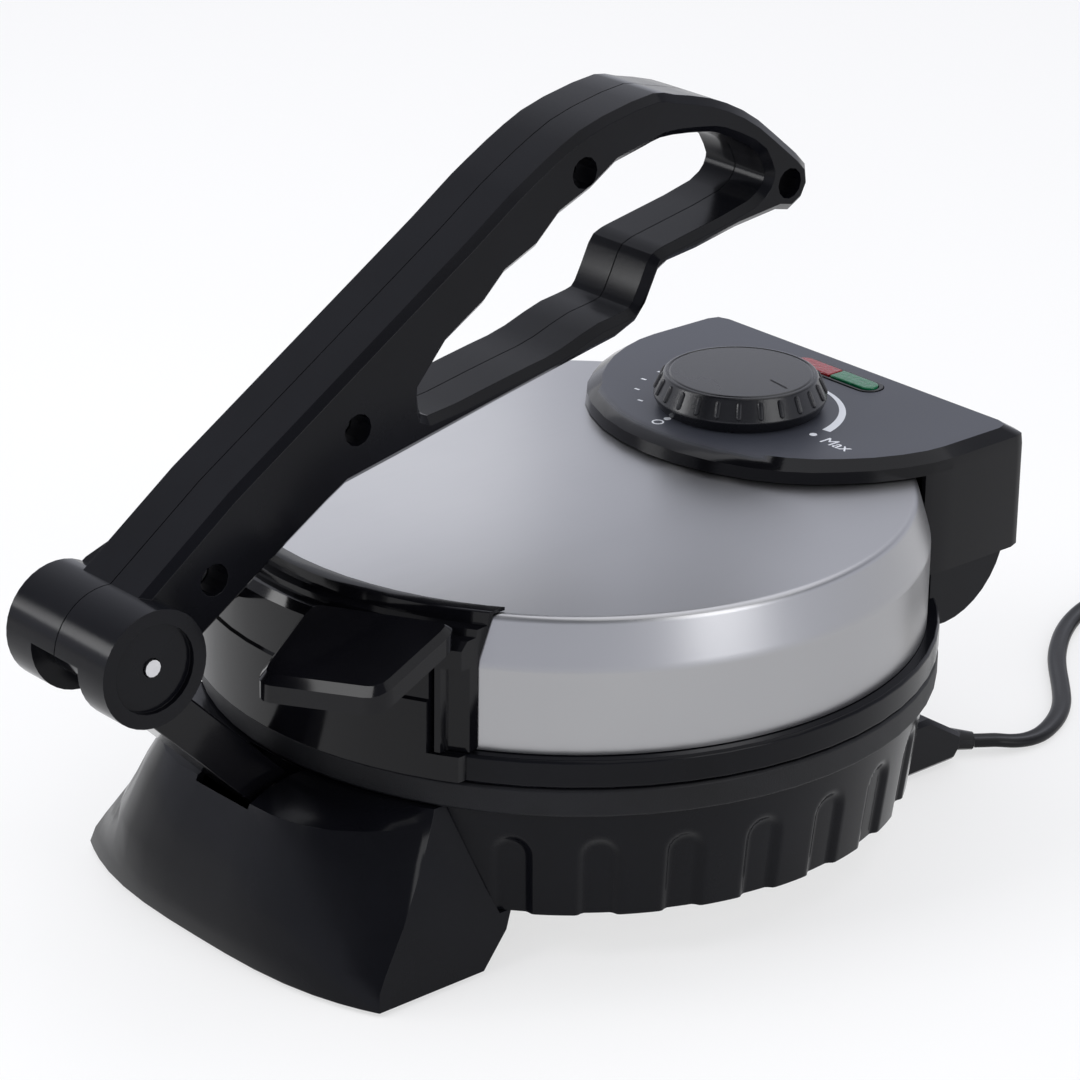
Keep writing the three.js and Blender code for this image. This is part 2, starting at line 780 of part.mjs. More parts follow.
// Hinge: a fixed cover with end walls, two brackets and the pin that the panel turns on
function hingeCover() {
  const half = panelHalfWidth - panelWall - gap;
  const inner = half - hingeCoverWall;
  const front = hingeY - hingeCoverFront;
  const arc = sectorPoints(hingeY, hingeZ, hingeCoverRadius, hingeCoverStartAngle, hingeCoverEndAngle, 12);
  const boss = sectorPoints(hingeY, hingeZ, hingeBoss, 90, 180, 3);
  const cheek = outline([...arc, ...boss, [front, hingeZ], [front, arc[0][1]]]);
  const bore = sectorPoints(hingeY, hingeZ, hingeCoverRadius - hingeCoverWall, -180, 180, barrelSegments).slice(1);
  const low = hingeZ - hingeCoverRadius - overrun;
  return sideways(cheek, -half, half)
    .subtract(sideways(outline(bore), -inner, inner))
    .subtract(block(-inner, inner, front - overrun, ringBore + gap, low, hingeZ))
    .subtract(rod(hingeY, hingeZ, hingePinRadius + pinGap, -half - overrun, half + overrun));
}

function hingeBracket(side) {
  const outer = bracketHalf + bracketThickness;
  const behind = (z) => Math.sqrt((bowlRadiusAt(z) - bowlWall - gap) ** 2 - outer ** 2);
  const foot = -bracketFoot;
  const top = -ringHeight - gap;
  const front = behind(foot) - bracketDepth;
  const neck = Math.sqrt((plateRadius + 2 * gap) ** 2 - bracketHalf ** 2);
  const shape = outline([
    [front, foot],
    [behind(foot), foot],
    [behind(top), top],
    [behind(top), hingeZ - 2 * hingeBoss],
    [hingeY, hingeZ - hingeBoss],
    [hingeY + hingeBoss, hingeZ],
    [hingeY, hingeZ + hingeBoss],
    [neck, hingeZ],
    [neck, top],
    [front, top],
  ]);
  const x0 = side > 0 ? bracketHalf : -outer;
  return sideways(shape, x0, x0 + bracketThickness)
    .subtract(rod(hingeY, hingeZ, hingePinRadius + pinGap, -ringRadius, ringRadius));
}

// Lid: steel cover, front housing with two lift tabs, control panel
function bend(r0, z0, r1, z1, r2, z2, radius) {
  const a = new THREE.Vector2(r0, z0);
  const b = new THREE.Vector2(r1, z1);
  const c = new THREE.Vector2(r2, z2);
  const start = b.clone().add(a.sub(b).setLength(radius));
  const end = b.clone().add(c.sub(b).setLength(radius));
  const curve = new THREE.QuadraticBezierCurve(start, b, end);
  return curve.getPoints(bendSegments).map((p) => [p.x, p.y]);
}

function steelSection(inset) {
  const low = ringHeight + gap;
  const [r, s, t] = [steelRadius - inset, steelTopRadius - inset, steelTop - inset];
  return [
    [r, low],
    ...bend(r, low, r, steelShoulder, s, t, steelBend),
    ...bend(r, steelShoulder, s, t, 0, t, steelTopBend),
    [0, t],
  ];
}

function steelCover() {
  const outside = steelSection(0);
  const inside = steelSection(steelThickness).reverse();
  const points = [...outside, ...inside].map(([r, z]) => new THREE.Vector2(r, z));
  points.push(points[0].clone());
  const geometry = new THREE.LatheGeometry(points, ringSegments);
  geometry.rotateX(Math.PI / 2);
  const cut = panelHalfWidth + gap;
  return solid(geometry)
    .subtract(block(-cut, cut, lidOpeningFront, ringRadius, 0, steelTop + overrun))
    .subtract(post(0, knobY, thermostatHalf / 2, 0, steelTop + overrun, barrelSegments));
}

function housingShell() {
  const skirt = ringRadius + gap;
  const hug = steelRadius + gap;
  const lean = (steelRadius - steelTopRadius) / (steelTop - steelShoulder);
  const flangeLow = steelTop + gap;
  const profile = [
    [skirt, housingHem],
    [housingRadius, housingHem],
    [housingRadius, housingSeam],
    [housingRadius - housingSeamStep, housingSeam + housingSeamStep],
    [housingRadius - housingSeamStep, housingShelfTop - housingSkin],
    [housingRadius - housingSkin, housingShelfTop],
    [housingStepRadius, housingShelfTop + gap],
    [housingStepRadius - gap, housingStepTop],
    [housingRidgeRadius + gap, housingStepTop + gap],
    [housingRidgeRadius, housingFlangeTop - gap],
    [housingRidgeRadius - housingSkin / 2, housingFlangeTop],
    [housingFlangeRadius, housingFlangeTop],
    [housingFlangeRadius, flangeLow],
    [steelTopRadius + gap, flangeLow],
    [steelTopRadius + 2 * gap + lean * (steelTop - steelShoulder), steelShoulder],
    [steelTopRadius + 2 * gap + lean * (steelTop - steelShoulder), ringHeight + 3 * gap],
    [skirt, ringHeight + gap],
  ];
  const wide = block(-housingHalfWidth, housingHalfWidth, -ringRadius * 2, -ringRadius / 2, 0, panelTop);
  let shell = turned(profile, housingSegments).intersect(wide);
  for (const side of [-1, 1]) {
    const [x0, x1] = [side * recessInner, side * (housingHalfWidth + overrun)].sort((a, b) => a - b);
    const outer = turned([[recessRadius, 0], [ringRadius * 2, 0], [ringRadius * 2, recessTop],
      [recessRadius, recessTop]], ringSegments);
    const recess = block(x0, x1, -ringRadius * 2, 0, ringHeight, recessTop).intersect(outer);
    shell = shell.subtract(recess);
    const [r0, r1] = [side * (recessInner + recessRib), side * (recessInner + 2 * recessRib)].sort((a, b) => a - b);
    const rib = block(r0, r1, -ringRadius * 2, 0, ringHeight + gap, recessTop).intersect(turned([
      [recessRadius - recessRib / 2, 0], [housingRadius - recessRib / 2, 0],
      [housingRadius - recessRib / 2, recessTop], [recessRadius - recessRib / 2, recessTop],
    ], ringSegments));
    shell = shell.add(rib);
  }
  return shell;
}

function liftTab(side) {
  const corners = tabShares.map(([x, y]) => new THREE.Vector2(side * x * ringRadius, -y * ringRadius));
  const round = tabRoundShare * ringRadius;
  const shape = new THREE.Shape();
  corners.forEach((corner, i) => {
    const before = corners[(i + 3) % 4].clone().sub(corner).setLength(round).add(corner);
    const after = corners[(i + 1) % 4].clone().sub(corner).setLength(round).add(corner);
    if (i === 0) shape.moveTo(before.x, before.y);
    else shape.lineTo(before.x, before.y);
    shape.quadraticCurveTo(corner.x, corner.y, after.x, after.y);
  });
  shape.closePath();
  const body = upright(shape, -tabThickness, 0, tabBevel, 4).add(upright(shape, -tabThickness, -tabBevel, 0, 4));
  const root = ringRadius;
  const high = housingShelfTop + gap;
  return body.transform([1, 0, 0, 0, 0, 1, tabSlopeShare, 0, 0, 0, 1, 0, 0, 0, high + tabSlopeShare * root, 1]);
}

function frontHousing() {
  const keepOut = turned([[0, 0], [steelRadius + gap, 0], [steelRadius + gap, steelShoulder],
    [steelTopRadius + gap, steelTop + gap], [0, steelTop + gap]], ringSegments);
  const tabs = liftTab(-1).add(liftTab(1)).subtract(keepOut);
  return housingShell().add(tabs);
}

function panelPlan(sideInset, frontInset) {
  const half = panelHalfWidth - sideInset;
  const back = panelBack - sideInset;
  const front = panelFront + frontInset;
  const long = panelBowLength + panelFront - front;
  const right = [
    [half - panelCorner, back],
    [half - panelCorner / 4, back - panelCorner / 4],
    [half, back - panelCorner],
    ...bowShares.map(([across, along]) => [across * half, front + along * long]),
  ];
  const left = right.slice(0, -1).reverse().map(([x, y]) => [-x, y]);
  return [...right, ...left];
}

function controlPanel() {
  const low = steelTop + gap;
  const rim = low + panelRim;
  const rows = [
    [panelPlan(panelSideBevel, panelFrontBevel), panelTop],
    [panelPlan(gap, gap * 2), rim],
    [panelPlan(0, 0), low],
  ];
  const plateTop = lofted(rows.map(([plan, z]) => plan.map(([x, y]) => [x, y, z])));
  const box = upright(outline(panelPlan(0, 0)), panelHem, low + gap)
    .intersect(block(-panelHalfWidth, panelHalfWidth, panelSideFront, panelBack, panelHem, low + gap));
  const inside = panelHalfWidth - panelWall;
  const hollow = block(-inside, inside, panelSideFront - overrun, panelBack - panelBackWall, panelHem - overrun,
    low + gap);
  const roof = panelTop - panelTopWall;
  const wellBack = panelBack - panelBackWall - panelSideBevel;
  const well = block(-inside, inside, wellBack - panelWell, wellBack, low - overrun, roof)
    .add(post(0, knobY, thermostatHalf, low - overrun, roof, barrelSegments));
  const shaftHole = post(0, knobY, shaftRadius + 2 * gap, low - overrun, panelTop + overrun);
  const pinEnd = panelHalfWidth - pinCap;
  return box.subtract(hollow).add(plateTop.subtract(well)).subtract(shaftHole)
    .subtract(lampPrism(gap, low - overrun, panelTop + overrun))
    .subtract(rod(hingeY, hingeZ, hingePinRadius + pinGap, -pinEnd, pinEnd));
}

// Lamps: one holder, two lenses
function capsule(halfLength, halfWidth) {
  const shape = new THREE.Shape();
  const straight = halfLength - halfWidth;
  shape.moveTo(-straight, lampY - halfWidth);
  shape.lineTo(straight, lampY - halfWidth);
  shape.absarc(straight, lampY, halfWidth, rad(-90), rad(90), false);
  shape.lineTo(-straight, lampY + halfWidth);
  shape.absarc(-straight, lampY, halfWidth, rad(90), rad(270), false);
  shape.closePath();
  return shape;
}

function lampPrism(margin, z0, z1) {
  return upright(capsule(lampHalfLength + margin, lampHalfWidth + margin), z0, z1, 0, 6);
}

function lampHolder() {
  const low = panelTop - holderDepth;
  const roof = panelTop - panelTopWall - gap;
  const flange = lampPrism(lampRim, roof - lampRim, roof);
  return lampPrism(0, low, panelTop + gap).add(flange)
    .subtract(lampPrism(-holderWall, low + holderWall, panelTop + overrun));
}

function lens(side) {
  const inset = -holderWall - gap;
  const body = lampPrism(inset, panelTop - holderDepth / 2, panelTop + lensProud);
  const far = lampHalfLength + overrun;
  const [x0, x1] = side < 0 ? [-far, -lensDivide / 2] : [lensDivide / 2, far];
  return body.intersect(block(x0, x1, lampY - far, lampY + far, 0, panelTop + overrun));
}

// Thermostat and knob
function thermostatBody() {
  const roof = steelTop - steelThickness - gap;
  return block(-thermostatHalf, thermostatHalf, knobY - thermostatHalf, lidOpeningFront - gap, roof - thermostatHeight,
    roof).add(post(0, knobY, thermostatNeck, roof - gap, panelTop - panelTopWall - gap))
    .subtract(post(0, knobY, shaftRadius + pinGap, roof - shaftReach, panelTop));
}

function knobRib(turn, shoulder) {
  const lean = (knobTopRadius - knobSkirtRadius) / (knobTop - shoulder);
  const start = knobSkirtRadius - lean * shoulder - knobRibSink;
  const rib = post(0, 0, knobRibRadius, shoulder + gap, knobTop - knobRim, 5);
  return rib.transform([1, 0, 0, 0, 0, 1, 0, 0, lean, 0, 1, 0, start, 0, 0, 1]).rotate([0, 0, turn]);
}

function knob() {
  const low = panelTop + knobLift;
  const shoulder = low + knobSkirtHeight;
  let cap = turned([
    [0, low + knobWall * 2],
    [knobTopRadius - knobWall, low + knobWall * 2],
    [knobBaseRadius - knobWall, low],
    [knobBaseRadius, low],
    [knobSkirtRadius, shoulder],
    [knobTopRadius, knobTop - knobRim / 2],
    [knobTopRadius - knobRim / 2, knobTop],
    [0, knobTop],
  ], knobSegments);
  for (let i = 0; i < knobRibs; i += 1) {
    cap = cap.add(knobRib(360 * i / knobRibs, shoulder));
  }
  const mark = block(knobMarkStart, knobMarkEnd, -knobMarkWidth / 2, knobMarkWidth / 2, knobTop - knobMarkDepth,
    knobTop + overrun);
  const socket = post(0, 0, shaftRadius + 2 * knobRim, low, knobTop - knobWall);
  const bore = post(0, 0, shaftRadius + gap / 2, low - overrun, knobTop - knobWall);
  return moved(cap.add(socket).subtract(bore).subtract(mark.rotate([0, 0, knobMarkAngle])), 0, knobY, 0);
}

function knobShaft() {
  const roof = steelTop - steelThickness - gap;
  return post(0, knobY, shaftRadius, roof - shaftReach + gap, knobTop - knobWall - gap);
}

// Link arm, in a frame that starts at the hub and runs along the arm
function linkArm() {
  const bar = block(-linkHalf, linkHalf, linkNeckEnd, linkLength, -linkLow, linkHigh);
  const neck = block(-linkHalf, linkHalf, 0, linkNeckEnd + gap, -linkNeckLow, linkHigh);
  return rod(0, 0, linkEye, -linkHalf, linkHalf, barrelSegments).add(neck).add(bar)
    .add(rod(linkLength, -pivotDrop, linkEnd, -linkHalf, linkHalf, barrelSegments))
    .subtract(rod(0, 0, sleeveRadius + pinGap, -linkHalf - overrun, linkHalf + overrun, barrelSegments))
    .subtract(rod(linkLength, -pivotDrop, linkPinRadius + pinGap, -linkHalf - overrun, linkHalf + overrun));
}

function hubSleeve() {
  return rod(0, 0, sleeveRadius, -sleeveHalf, sleeveHalf, barrelSegments)
    .subtract(rod(0, 0, hubPinRadius + gap / 2, -hubHalf, hubHalf));
}

// Lever, in the hub's frame, in two halves
function leverPoint([along, above]) {
  return new THREE.Vector2(along * leverLength, above * leverRise);
}

function loopHole() {
  const hole = new THREE.Path();
  const start = leverPoint(scallopShares[3][2]);
  hole.moveTo(start.x, start.y);
  hole.splineThru(loopLowShares.map(leverPoint));
  hole.splineThru(loopPalmShares.map(leverPoint));
  for (const [first, second, cusp] of scallopShares) {
    const [a, b, c] = [first, second, cusp].map(leverPoint);
    hole.bezierCurveTo(a.x, a.y, b.x, b.y, c.x, c.y);
  }
  return hole;
}

function leverOutline() {
  const shape = new THREE.Shape();
  const start = leverPoint(underArmShares[0]);
  shape.moveTo(start.x, start.y);
  for (const share of [...underArmShares.slice(1), ...underBarShares]) {
    const p = leverPoint(share);
    shape.lineTo(p.x, p.y);
  }
  for (const share of [...stepShares, ...barEndShares]) {
    const p = leverPoint(share);
    shape.lineTo(p.x, p.y);
  }
  const nose = leverPoint(noseShare);
  shape.absarc(nose.x, nose.y, noseRadius, rad(noseStartAngle), rad(noseEndAngle), false);
  shape.splineThru(palmShares.map(leverPoint));
  for (const share of topShares) {
    const p = leverPoint(share);
    shape.lineTo(p.x, p.y);
  }
  shape.closePath();
  return shape;
}

function hubWindow() {
  const wide = hubRadius + overrun;
  const steps = 12;
  const outer = sectorPoints(0, 0, wide, windowStartAngle, windowEndAngle, steps);
  const inner = sectorPoints(0, 0, linkEye, windowStartAngle, windowEndAngle, steps).reverse();
  return sideways(outline([...outer, ...inner]), -windowHalf, windowHalf);
}

function leverGusset() {
  const start = hubRadius / 2;
  const plan = new THREE.Shape();
  plan.moveTo(-leverHalf + leverBevel * 2, start);
  plan.lineTo(-hubHalf + gap, start);
  plan.lineTo(-hubHalf + gap, hubRadius - gap);
  plan.lineTo(-leverHalf + leverBevel, gussetReach);
  plan.lineTo(-leverHalf + leverBevel * 2, gussetReach);
  plan.closePath();
  return upright(plan, gussetLow, gussetHigh).rotate([armAngle, 0, 0]);
}

function leverHalfBody(side) {
  const hole = loopHole();
  const shape = leverOutline();
  shape.holes.push(hole);
  const pocket = sideways(outline(leverPocketShares.map((share) => leverPoint(share).toArray())),
    -leverHalf + leverSkin, leverHalf - leverSkin);
  let bosses = null;
  for (const share of leverScrewShares.slice(0, 3)) {
    const p = leverPoint(share);
    const boss = rod(p.x, p.y, leverBoss, -leverHalf + leverBevel, leverHalf - leverBevel);
    bosses = bosses ? bosses.add(boss) : boss;
  }
  const cavity = rod(0, 0, linkEye + gap, -linkHalf - gap, linkHalf + gap, barrelSegments);
  const bore = rod(0, 0, sleeveRadius + pinGap, -sleeveHalf - gap, sleeveHalf + gap, barrelSegments);
  let lever = sideways(shape, -leverHalf, leverHalf, leverBevel).subtract(pocket.subtract(bosses));
  lever = lever.add(rod(0, 0, hubRadius, -hubHalf, hubHalf, barrelSegments * 1.5)).add(leverGusset());
  lever = lever.subtract(cavity).subtract(bore).subtract(hubWindow())
    .subtract(rod(0, 0, hubPinRadius + gap, -hubHalf - overrun, hubHalf + overrun));
  for (const end of [-1, 1]) {
    const [x0, x1] = [end * (hubHalf - hubDishDepth), end * (hubHalf + overrun)].sort((a, b) => a - b);
    lever = lever.subtract(rod(0, 0, hubDish, x0, x1, barrelSegments));
  }
  for (const share of leverScrewShares) {
    const p = leverPoint(share);
    lever = lever.subtract(rod(p.x, p.y, leverScrewHead, leverScrewSeat, leverHalf + overrun))
      .subtract(rod(p.x, p.y, leverScrewRadius + gap, -leverScrewTip - gap, leverHalf));
  }
  const wide = leverLength * 2;
  const [x0, x1] = side < 0 ? [-wide, -gap / 2] : [gap / 2, wide];
  return lever.intersect(block(x0, x1, -wide, wide, -wide, wide));
}

function leverScrew(share) {
  const p = leverPoint(share);
  const head = leverScrewSeat + gap;
  return rod(p.x, p.y, leverScrewHead - gap, head, head + leverSkin)
    .add(rod(p.x, p.y, leverScrewRadius, -leverScrewTip, head + gap));
}

// Cord, strain relief, coil, tie and plug
function reliefBody(margin) {
  const tip = cordWidth / 2 + gap;
  const profile = [
    [0, -reliefCollarLength * 2],
    [reliefCollar + margin, -reliefCollarLength * 2],
    [reliefCollar + margin, -reliefCollarLength],
    [reliefRadius + margin, -reliefCollarLength],
    [reliefRadius + margin, reliefCollarLength * 2],
    [tip + margin, reliefLength],
    [0, reliefLength],
  ];
  const points = profile.map(([r, z]) => new THREE.Vector2(r, z));
  const geometry = new THREE.LatheGeometry(points, pinSegments);
  geometry.scale(1, 1, reliefFlatShare);
  geometry.rotateX(-Math.atan2(reliefDrop, reliefLength));
  geometry.rotateZ(rad(reliefHeadingAngle - 90));
  geometry.translate(reliefX, reliefY, reliefZ);
  return solid(geometry);
}

function cordSection() {
  return outline(cordSectionShares.map(([a, b]) => [a * cordThickness / 2, b * cordWidth / 2]));
}

function tubeAlong(points, steps) {
  const path = new THREE.CatmullRomCurve3(points, false, 'centripetal');
  return solid(new THREE.ExtrudeGeometry(cordSection(), { steps, extrudePath: path }));
}

function powerCord() {
  return tubeAlong(cordRoute.map((p) => new THREE.Vector3(...p)), 36);
}

const coilFloor = floorZ + tieThickness + gap + cordThickness / 2;
const turnAtClimb = coilTurns / 2;

function coilPoint(turn) {
  const radius = coilRadius - coilPitch * (turn < turnAtClimb ? turn : coilTurns - turn);
  const start = turnAtClimb - climbStartShare;
  const end = turnAtClimb + climbEndShare;
  const climb = THREE.MathUtils.smoothstep(turn, start, end);
  const a = Math.PI - 2 * Math.PI * turn;
  return new THREE.Vector3(coilX + radius * Math.cos(a), coilY + radius * Math.sin(a), coilFloor + coilLayer * climb);
}

function coilCentres() {
  const count = Math.round(coilSteps * coilTurns);
  const points = [];
  for (let i = 0; i <= count; i += 1) points.push(coilPoint(coilTurns * i / count));
  const first = points[0].clone().sub(new THREE.Vector3(0, cordWidth, 0));
  const last = points[count].clone().sub(new THREE.Vector3(0, plugLead, 0));
  return [first, ...points, last];
}

function coilLeastGap() {
  const centres = [];
  const count = Math.round(coilSteps * coilTurns) * 2;
  for (let i = 0; i <= count; i += 1) {
    const turn = coilTurns * i / count;
    const centre = coilPoint(turn);
    const outward = new THREE.Vector3(centre.x - coilX, centre.y - coilY, 0).normalize();
    for (const share of [-1, -0.5, 0, 0.5, 1]) {
      const offset = share * (cordWidth - cordThickness) / 2;
      centres.push([turn, centre.clone().addScaledVector(outward, offset)]);
    }
  }
  let least = Infinity;
  for (const [turnA, a] of centres) {
    for (const [turnB, b] of centres) {
      if (turnB - turnA > 0.4) least = Math.min(least, a.distanceTo(b) - cordThickness);
    }
  }
  return least;
}

function coilTie() {
  const middle = (coilRadius * 2 - coilPitch * (0.25 + 1.25)) / 2;
  const halfSpan = coilPitch / 2 + cordWidth / 2 + gap * 2;
  const [y0, y1] = [coilY + middle - halfSpan, coilY + middle + halfSpan];
  const low = floorZ + tieThickness;
  const high = coilFloor + coilLayer + cordThickness / 2 + gap;
  const half = tieWidth / 2;
  const around = block(coilX - half, coilX + half, y0 - tieThickness, y1 + tieThickness, floorZ, high + tieThickness);
  return around.subtract(block(coilX - tieWidth, coilX + tieWidth, y0, y1, low, high));
}

const plugX = coilX + coilRadius;
const plugY = coilY - plugLead - gap;
const plugZ = coilFloor + coilLayer;

function plugBody() {
  const neck = cordWidth / 2 + 3 * gap;
  const plan = outline([
    [plugX - neck, plugY],
    [plugX + neck, plugY],
    [plugX + plugHalfWidth, plugY - plugNeckLength],
    [plugX + plugHalfWidth, plugY - plugLength],
    [plugX - plugHalfWidth, plugY - plugLength],
    [plugX - plugHalfWidth, plugY - plugNeckLength],
  ]);
  let body = upright(plan, plugZ - plugHalfHeight, plugZ + plugHalfHeight, plugBevel);
  for (const side of [-1, 1]) {
    body = body.subtract(bladeBlock(side, gap / 2));
  }
  return body;
}

function bladeBlock(side, margin) {
  const x = plugX + side * bladeHalfSpacing;
  const half = bladeThickness / 2 + margin;
  const root = plugY - plugLength + plugNeckLength / 2;
  const high = bladeHeight / 2 + margin;
  return block(x - half, x + half, plugY - plugLength - bladeLength, root + margin, plugZ - high, plugZ + high);
}

function terminalBlock() {
  const low = -bowlDrop + coverThickness + gap;
  const half = coverBossRadius * 3;
  return block(-half, half, reflectorRadius / 2, reflectorRadius / 2 + coverBossHeight, low, low + coverBossHeight / 2);
}

// Assembly
addPiece('base_bowl', baseBowl(), 'black');
addPiece('base_ring', ring(-1), 'textured');
addPiece('base_cover', bottomCover(), 'zinc');
addPiece('front_foot', frontFoot(), 'black');
addPiece('front_foot_plate', footPlate(), 'black');
addPiece('rear_foot', rearFoot(), 'black');
[[-padX, -frontPadY], [padX, -frontPadY], [-padX, rearPadY], [padX, rearPadY]]
  .forEach(([x, y], i) => addPiece(`foot_pad_${i + 1}`, footPad(x, y), 'rubber'));
screwPlaces().forEach(([x, y], i) => addPiece(`cover_screw_${i + 1}`, coverScrew(x, y), 'zinc'));
addPiece('lower_plate', plate(-1), 'cast');
addPiece('lower_element', element(-1), 'zinc');
addPiece('lower_reflector', reflector(-1), 'steel');
addPiece('terminal_block', terminalBlock(), 'ceramic');
addPiece('hinge_cover', hingeCover(), 'black');
addPiece('hinge_bracket_left', hingeBracket(-1), 'zinc');
addPiece('hinge_bracket_right', hingeBracket(1), 'zinc');
const pinHalf = panelHalfWidth - pinCap - gap;
addPiece('hinge_pin', rod(hingeY, hingeZ, hingePinRadius, -pinHalf, pinHalf), 'zinc');
addPiece('link_pivot_pin', rod(pivotY, pivotZ, linkPinRadius, -linkPinHalf + gap, linkPinHalf - gap), 'zinc');
addPiece('strain_relief', reliefBody(0), 'rubber');
addPiece('power_cord', powerCord(), 'rubber');
addPiece('cord_coil', tubeAlong(coilCentres(), Math.round(coilSteps * coilTurns) + 4), 'rubber');
addPiece('cord_tie', coilTie(), 'rubber');
addPiece('plug_body', plugBody(), 'rubber');
[-1, 1].forEach((side, i) => addPiece(`plug_blade_${i + 1}`, bladeBlock(side, 0), 'brass'));

addPiece('lid_ring', ring(1), 'black');
addPiece('upper_plate', plate(1), 'cast');
addPiece('upper_element', element(1), 'zinc');
addPiece('upper_reflector', reflector(1), 'steel');
addPiece('steel_cover', steelCover(), 'steel');
addPiece('front_housing', frontHousing(), 'gloss');
addPiece('control_panel', controlPanel(), 'black');
addPiece('thermostat_body', thermostatBody(), 'ceramic');
addPiece('lamp_holder', lampHolder(), 'gloss');
addPiece('red_lens', lens(-1), 'red');
addPiece('green_lens', lens(1), 'green');

addPiece('thermostat_knob', knob(), 'gloss');
addPiece('knob_shaft', knobShaft(), 'zinc');

addPiece('link_arm', linkArm(), 'gloss', linkFrame);
addPiece('hub_sleeve', hubSleeve(), 'zinc', frontOfHub);
addPiece('hub_pin', rod(0, 0, hubPinRadius, -hubPinHalf, hubPinHalf), 'zinc', frontOfHub);
addPiece('lever_left', leverHalfBody(-1), 'black', frontOfHub);
addPiece('lever_right', leverHalfBody(1), 'black', frontOfHub);
leverScrewShares.forEach((share, i) => addPiece(`lever_screw_${i + 1}`, leverScrew(share), 'zinc', frontOfHub));

console.log(`least gap of the cord coil to itself: ${coilLeastGap().toFixed(2)} mm`);

export default machine;
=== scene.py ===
import json
import math

import bmesh
import bpy
from mathutils import Matrix, Vector


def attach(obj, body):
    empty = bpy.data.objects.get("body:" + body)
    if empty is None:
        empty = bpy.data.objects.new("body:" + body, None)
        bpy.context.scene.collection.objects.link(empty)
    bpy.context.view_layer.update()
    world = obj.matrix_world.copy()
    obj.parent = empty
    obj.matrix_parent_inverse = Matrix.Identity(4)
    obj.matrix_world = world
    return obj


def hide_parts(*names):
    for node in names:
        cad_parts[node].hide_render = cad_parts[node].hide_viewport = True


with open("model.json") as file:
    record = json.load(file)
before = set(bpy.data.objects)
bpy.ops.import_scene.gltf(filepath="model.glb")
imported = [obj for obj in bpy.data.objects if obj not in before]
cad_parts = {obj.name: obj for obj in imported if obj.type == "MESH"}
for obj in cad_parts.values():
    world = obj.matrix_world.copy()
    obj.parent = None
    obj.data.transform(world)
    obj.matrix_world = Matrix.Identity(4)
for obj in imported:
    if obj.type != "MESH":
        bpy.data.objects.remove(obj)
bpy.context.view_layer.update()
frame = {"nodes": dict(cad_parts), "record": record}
nodes = frame["nodes"]

# Lengths of the machine are millimetres in its own frame: x = y = 0 is the plates' axis, and z = 0 is the
# plane where lid and base meet. at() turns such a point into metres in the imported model's frame.
AXIS_Y = 31.2
FLOOR = 60.6


def at(x, y, z):
    return Vector((x / 1000, (y + AXIS_Y) / 1000, (z + FLOOR) / 1000))


# Camera
AZIMUTH = math.radians(48.43)
ELEVATION = math.radians(22.65)
ROLL = math.radians(0.77)
CAMERA_PLACE = (853.0, -768.6, 508.5)
CAMERA_LENS = 133.3
CAMERA_SENSOR = 36
CAMERA_REACH = 20

back = Vector((
    math.sin(AZIMUTH) * math.cos(ELEVATION),
    -math.cos(AZIMUTH) * math.cos(ELEVATION),
    math.sin(ELEVATION),
))
level = Vector((math.cos(AZIMUTH), math.sin(AZIMUTH), 0))
steep = back.cross(level)
right = math.cos(ROLL) * level + math.sin(ROLL) * steep
up = -math.sin(ROLL) * level + math.cos(ROLL) * steep
turned = Matrix((right, up, back)).transposed().to_4x4()
camera_data = bpy.data.cameras.new("camera")
camera = bpy.data.objects.new("camera", camera_data)
bpy.context.scene.collection.objects.link(camera)
camera.matrix_world = Matrix.Translation(at(*CAMERA_PLACE)) @ turned
camera_data.lens = CAMERA_LENS
camera_data.sensor_width = CAMERA_SENSOR
camera_data.clip_end = CAMERA_REACH
bpy.context.scene.camera = camera

# Parts of a material. Most values of a noise lie between NOISE_LOW and NOISE_HIGH, and reliefs are metres.
NOISE_LOW, NOISE_HIGH = 0.3, 0.7
GRAIN_RELIEF = 0.0002
LENS_RELIEF = 0.0003
LENS_DARK_SHARE = 0.7
LENS_ROUGH = (0.12, 0.3)
LENS_DEPTH, LENS_CLEAR, LENS_LEVEL = 0.5, 0.25, 0.6


def tree(name):
    material = bpy.data.materials.new(name)
    material.use_nodes = True
    return material, material.node_tree.nodes, material.node_tree.links


def noise(ns, links, scale, detail, stretch=(1, 1, 1), rough=0.55):
    where = ns.new("ShaderNodeTexCoord")
    mapping = ns.new("ShaderNodeMapping")
    mapping.inputs["Scale"].default_value = stretch
    texture = ns.new("ShaderNodeTexNoise")
    texture.inputs["Scale"].default_value = scale
    texture.inputs["Detail"].default_value = detail
    texture.inputs["Roughness"].default_value = rough
    links.new(where.outputs["Object"], mapping.inputs["Vector"])
    links.new(mapping.outputs["Vector"], texture.inputs["Vector"])
    return texture.outputs["Fac"]


def spread(ns, links, source, low, high, start=NOISE_LOW, end=NOISE_HIGH):
    reach = ns.new("ShaderNodeMapRange")
    for key, value in (("From Min", start), ("From Max", end), ("To Min", low), ("To Max", high)):
        reach.inputs[key].default_value = value
    links.new(source, reach.inputs["Value"])
    return reach.outputs["Result"]


def tint(ns, links, source, low, high):
    ramp = ns.new("ShaderNodeValToRGB")
    for element, place, colour in zip(ramp.color_ramp.elements, (NOISE_LOW, NOISE_HIGH), (low, high)):
        element.position = place
        element.color = (*colour, 1)
    links.new(source, ramp.inputs["Fac"])
    return ramp.outputs["Color"]


def raised(ns, links, source, strength, distance=GRAIN_RELIEF):
    bump = ns.new("ShaderNodeBump")
    bump.inputs["Strength"].default_value = strength
    bump.inputs["Distance"].default_value = distance
    links.new(source, bump.inputs["Height"])
    return bump.outputs["Normal"]


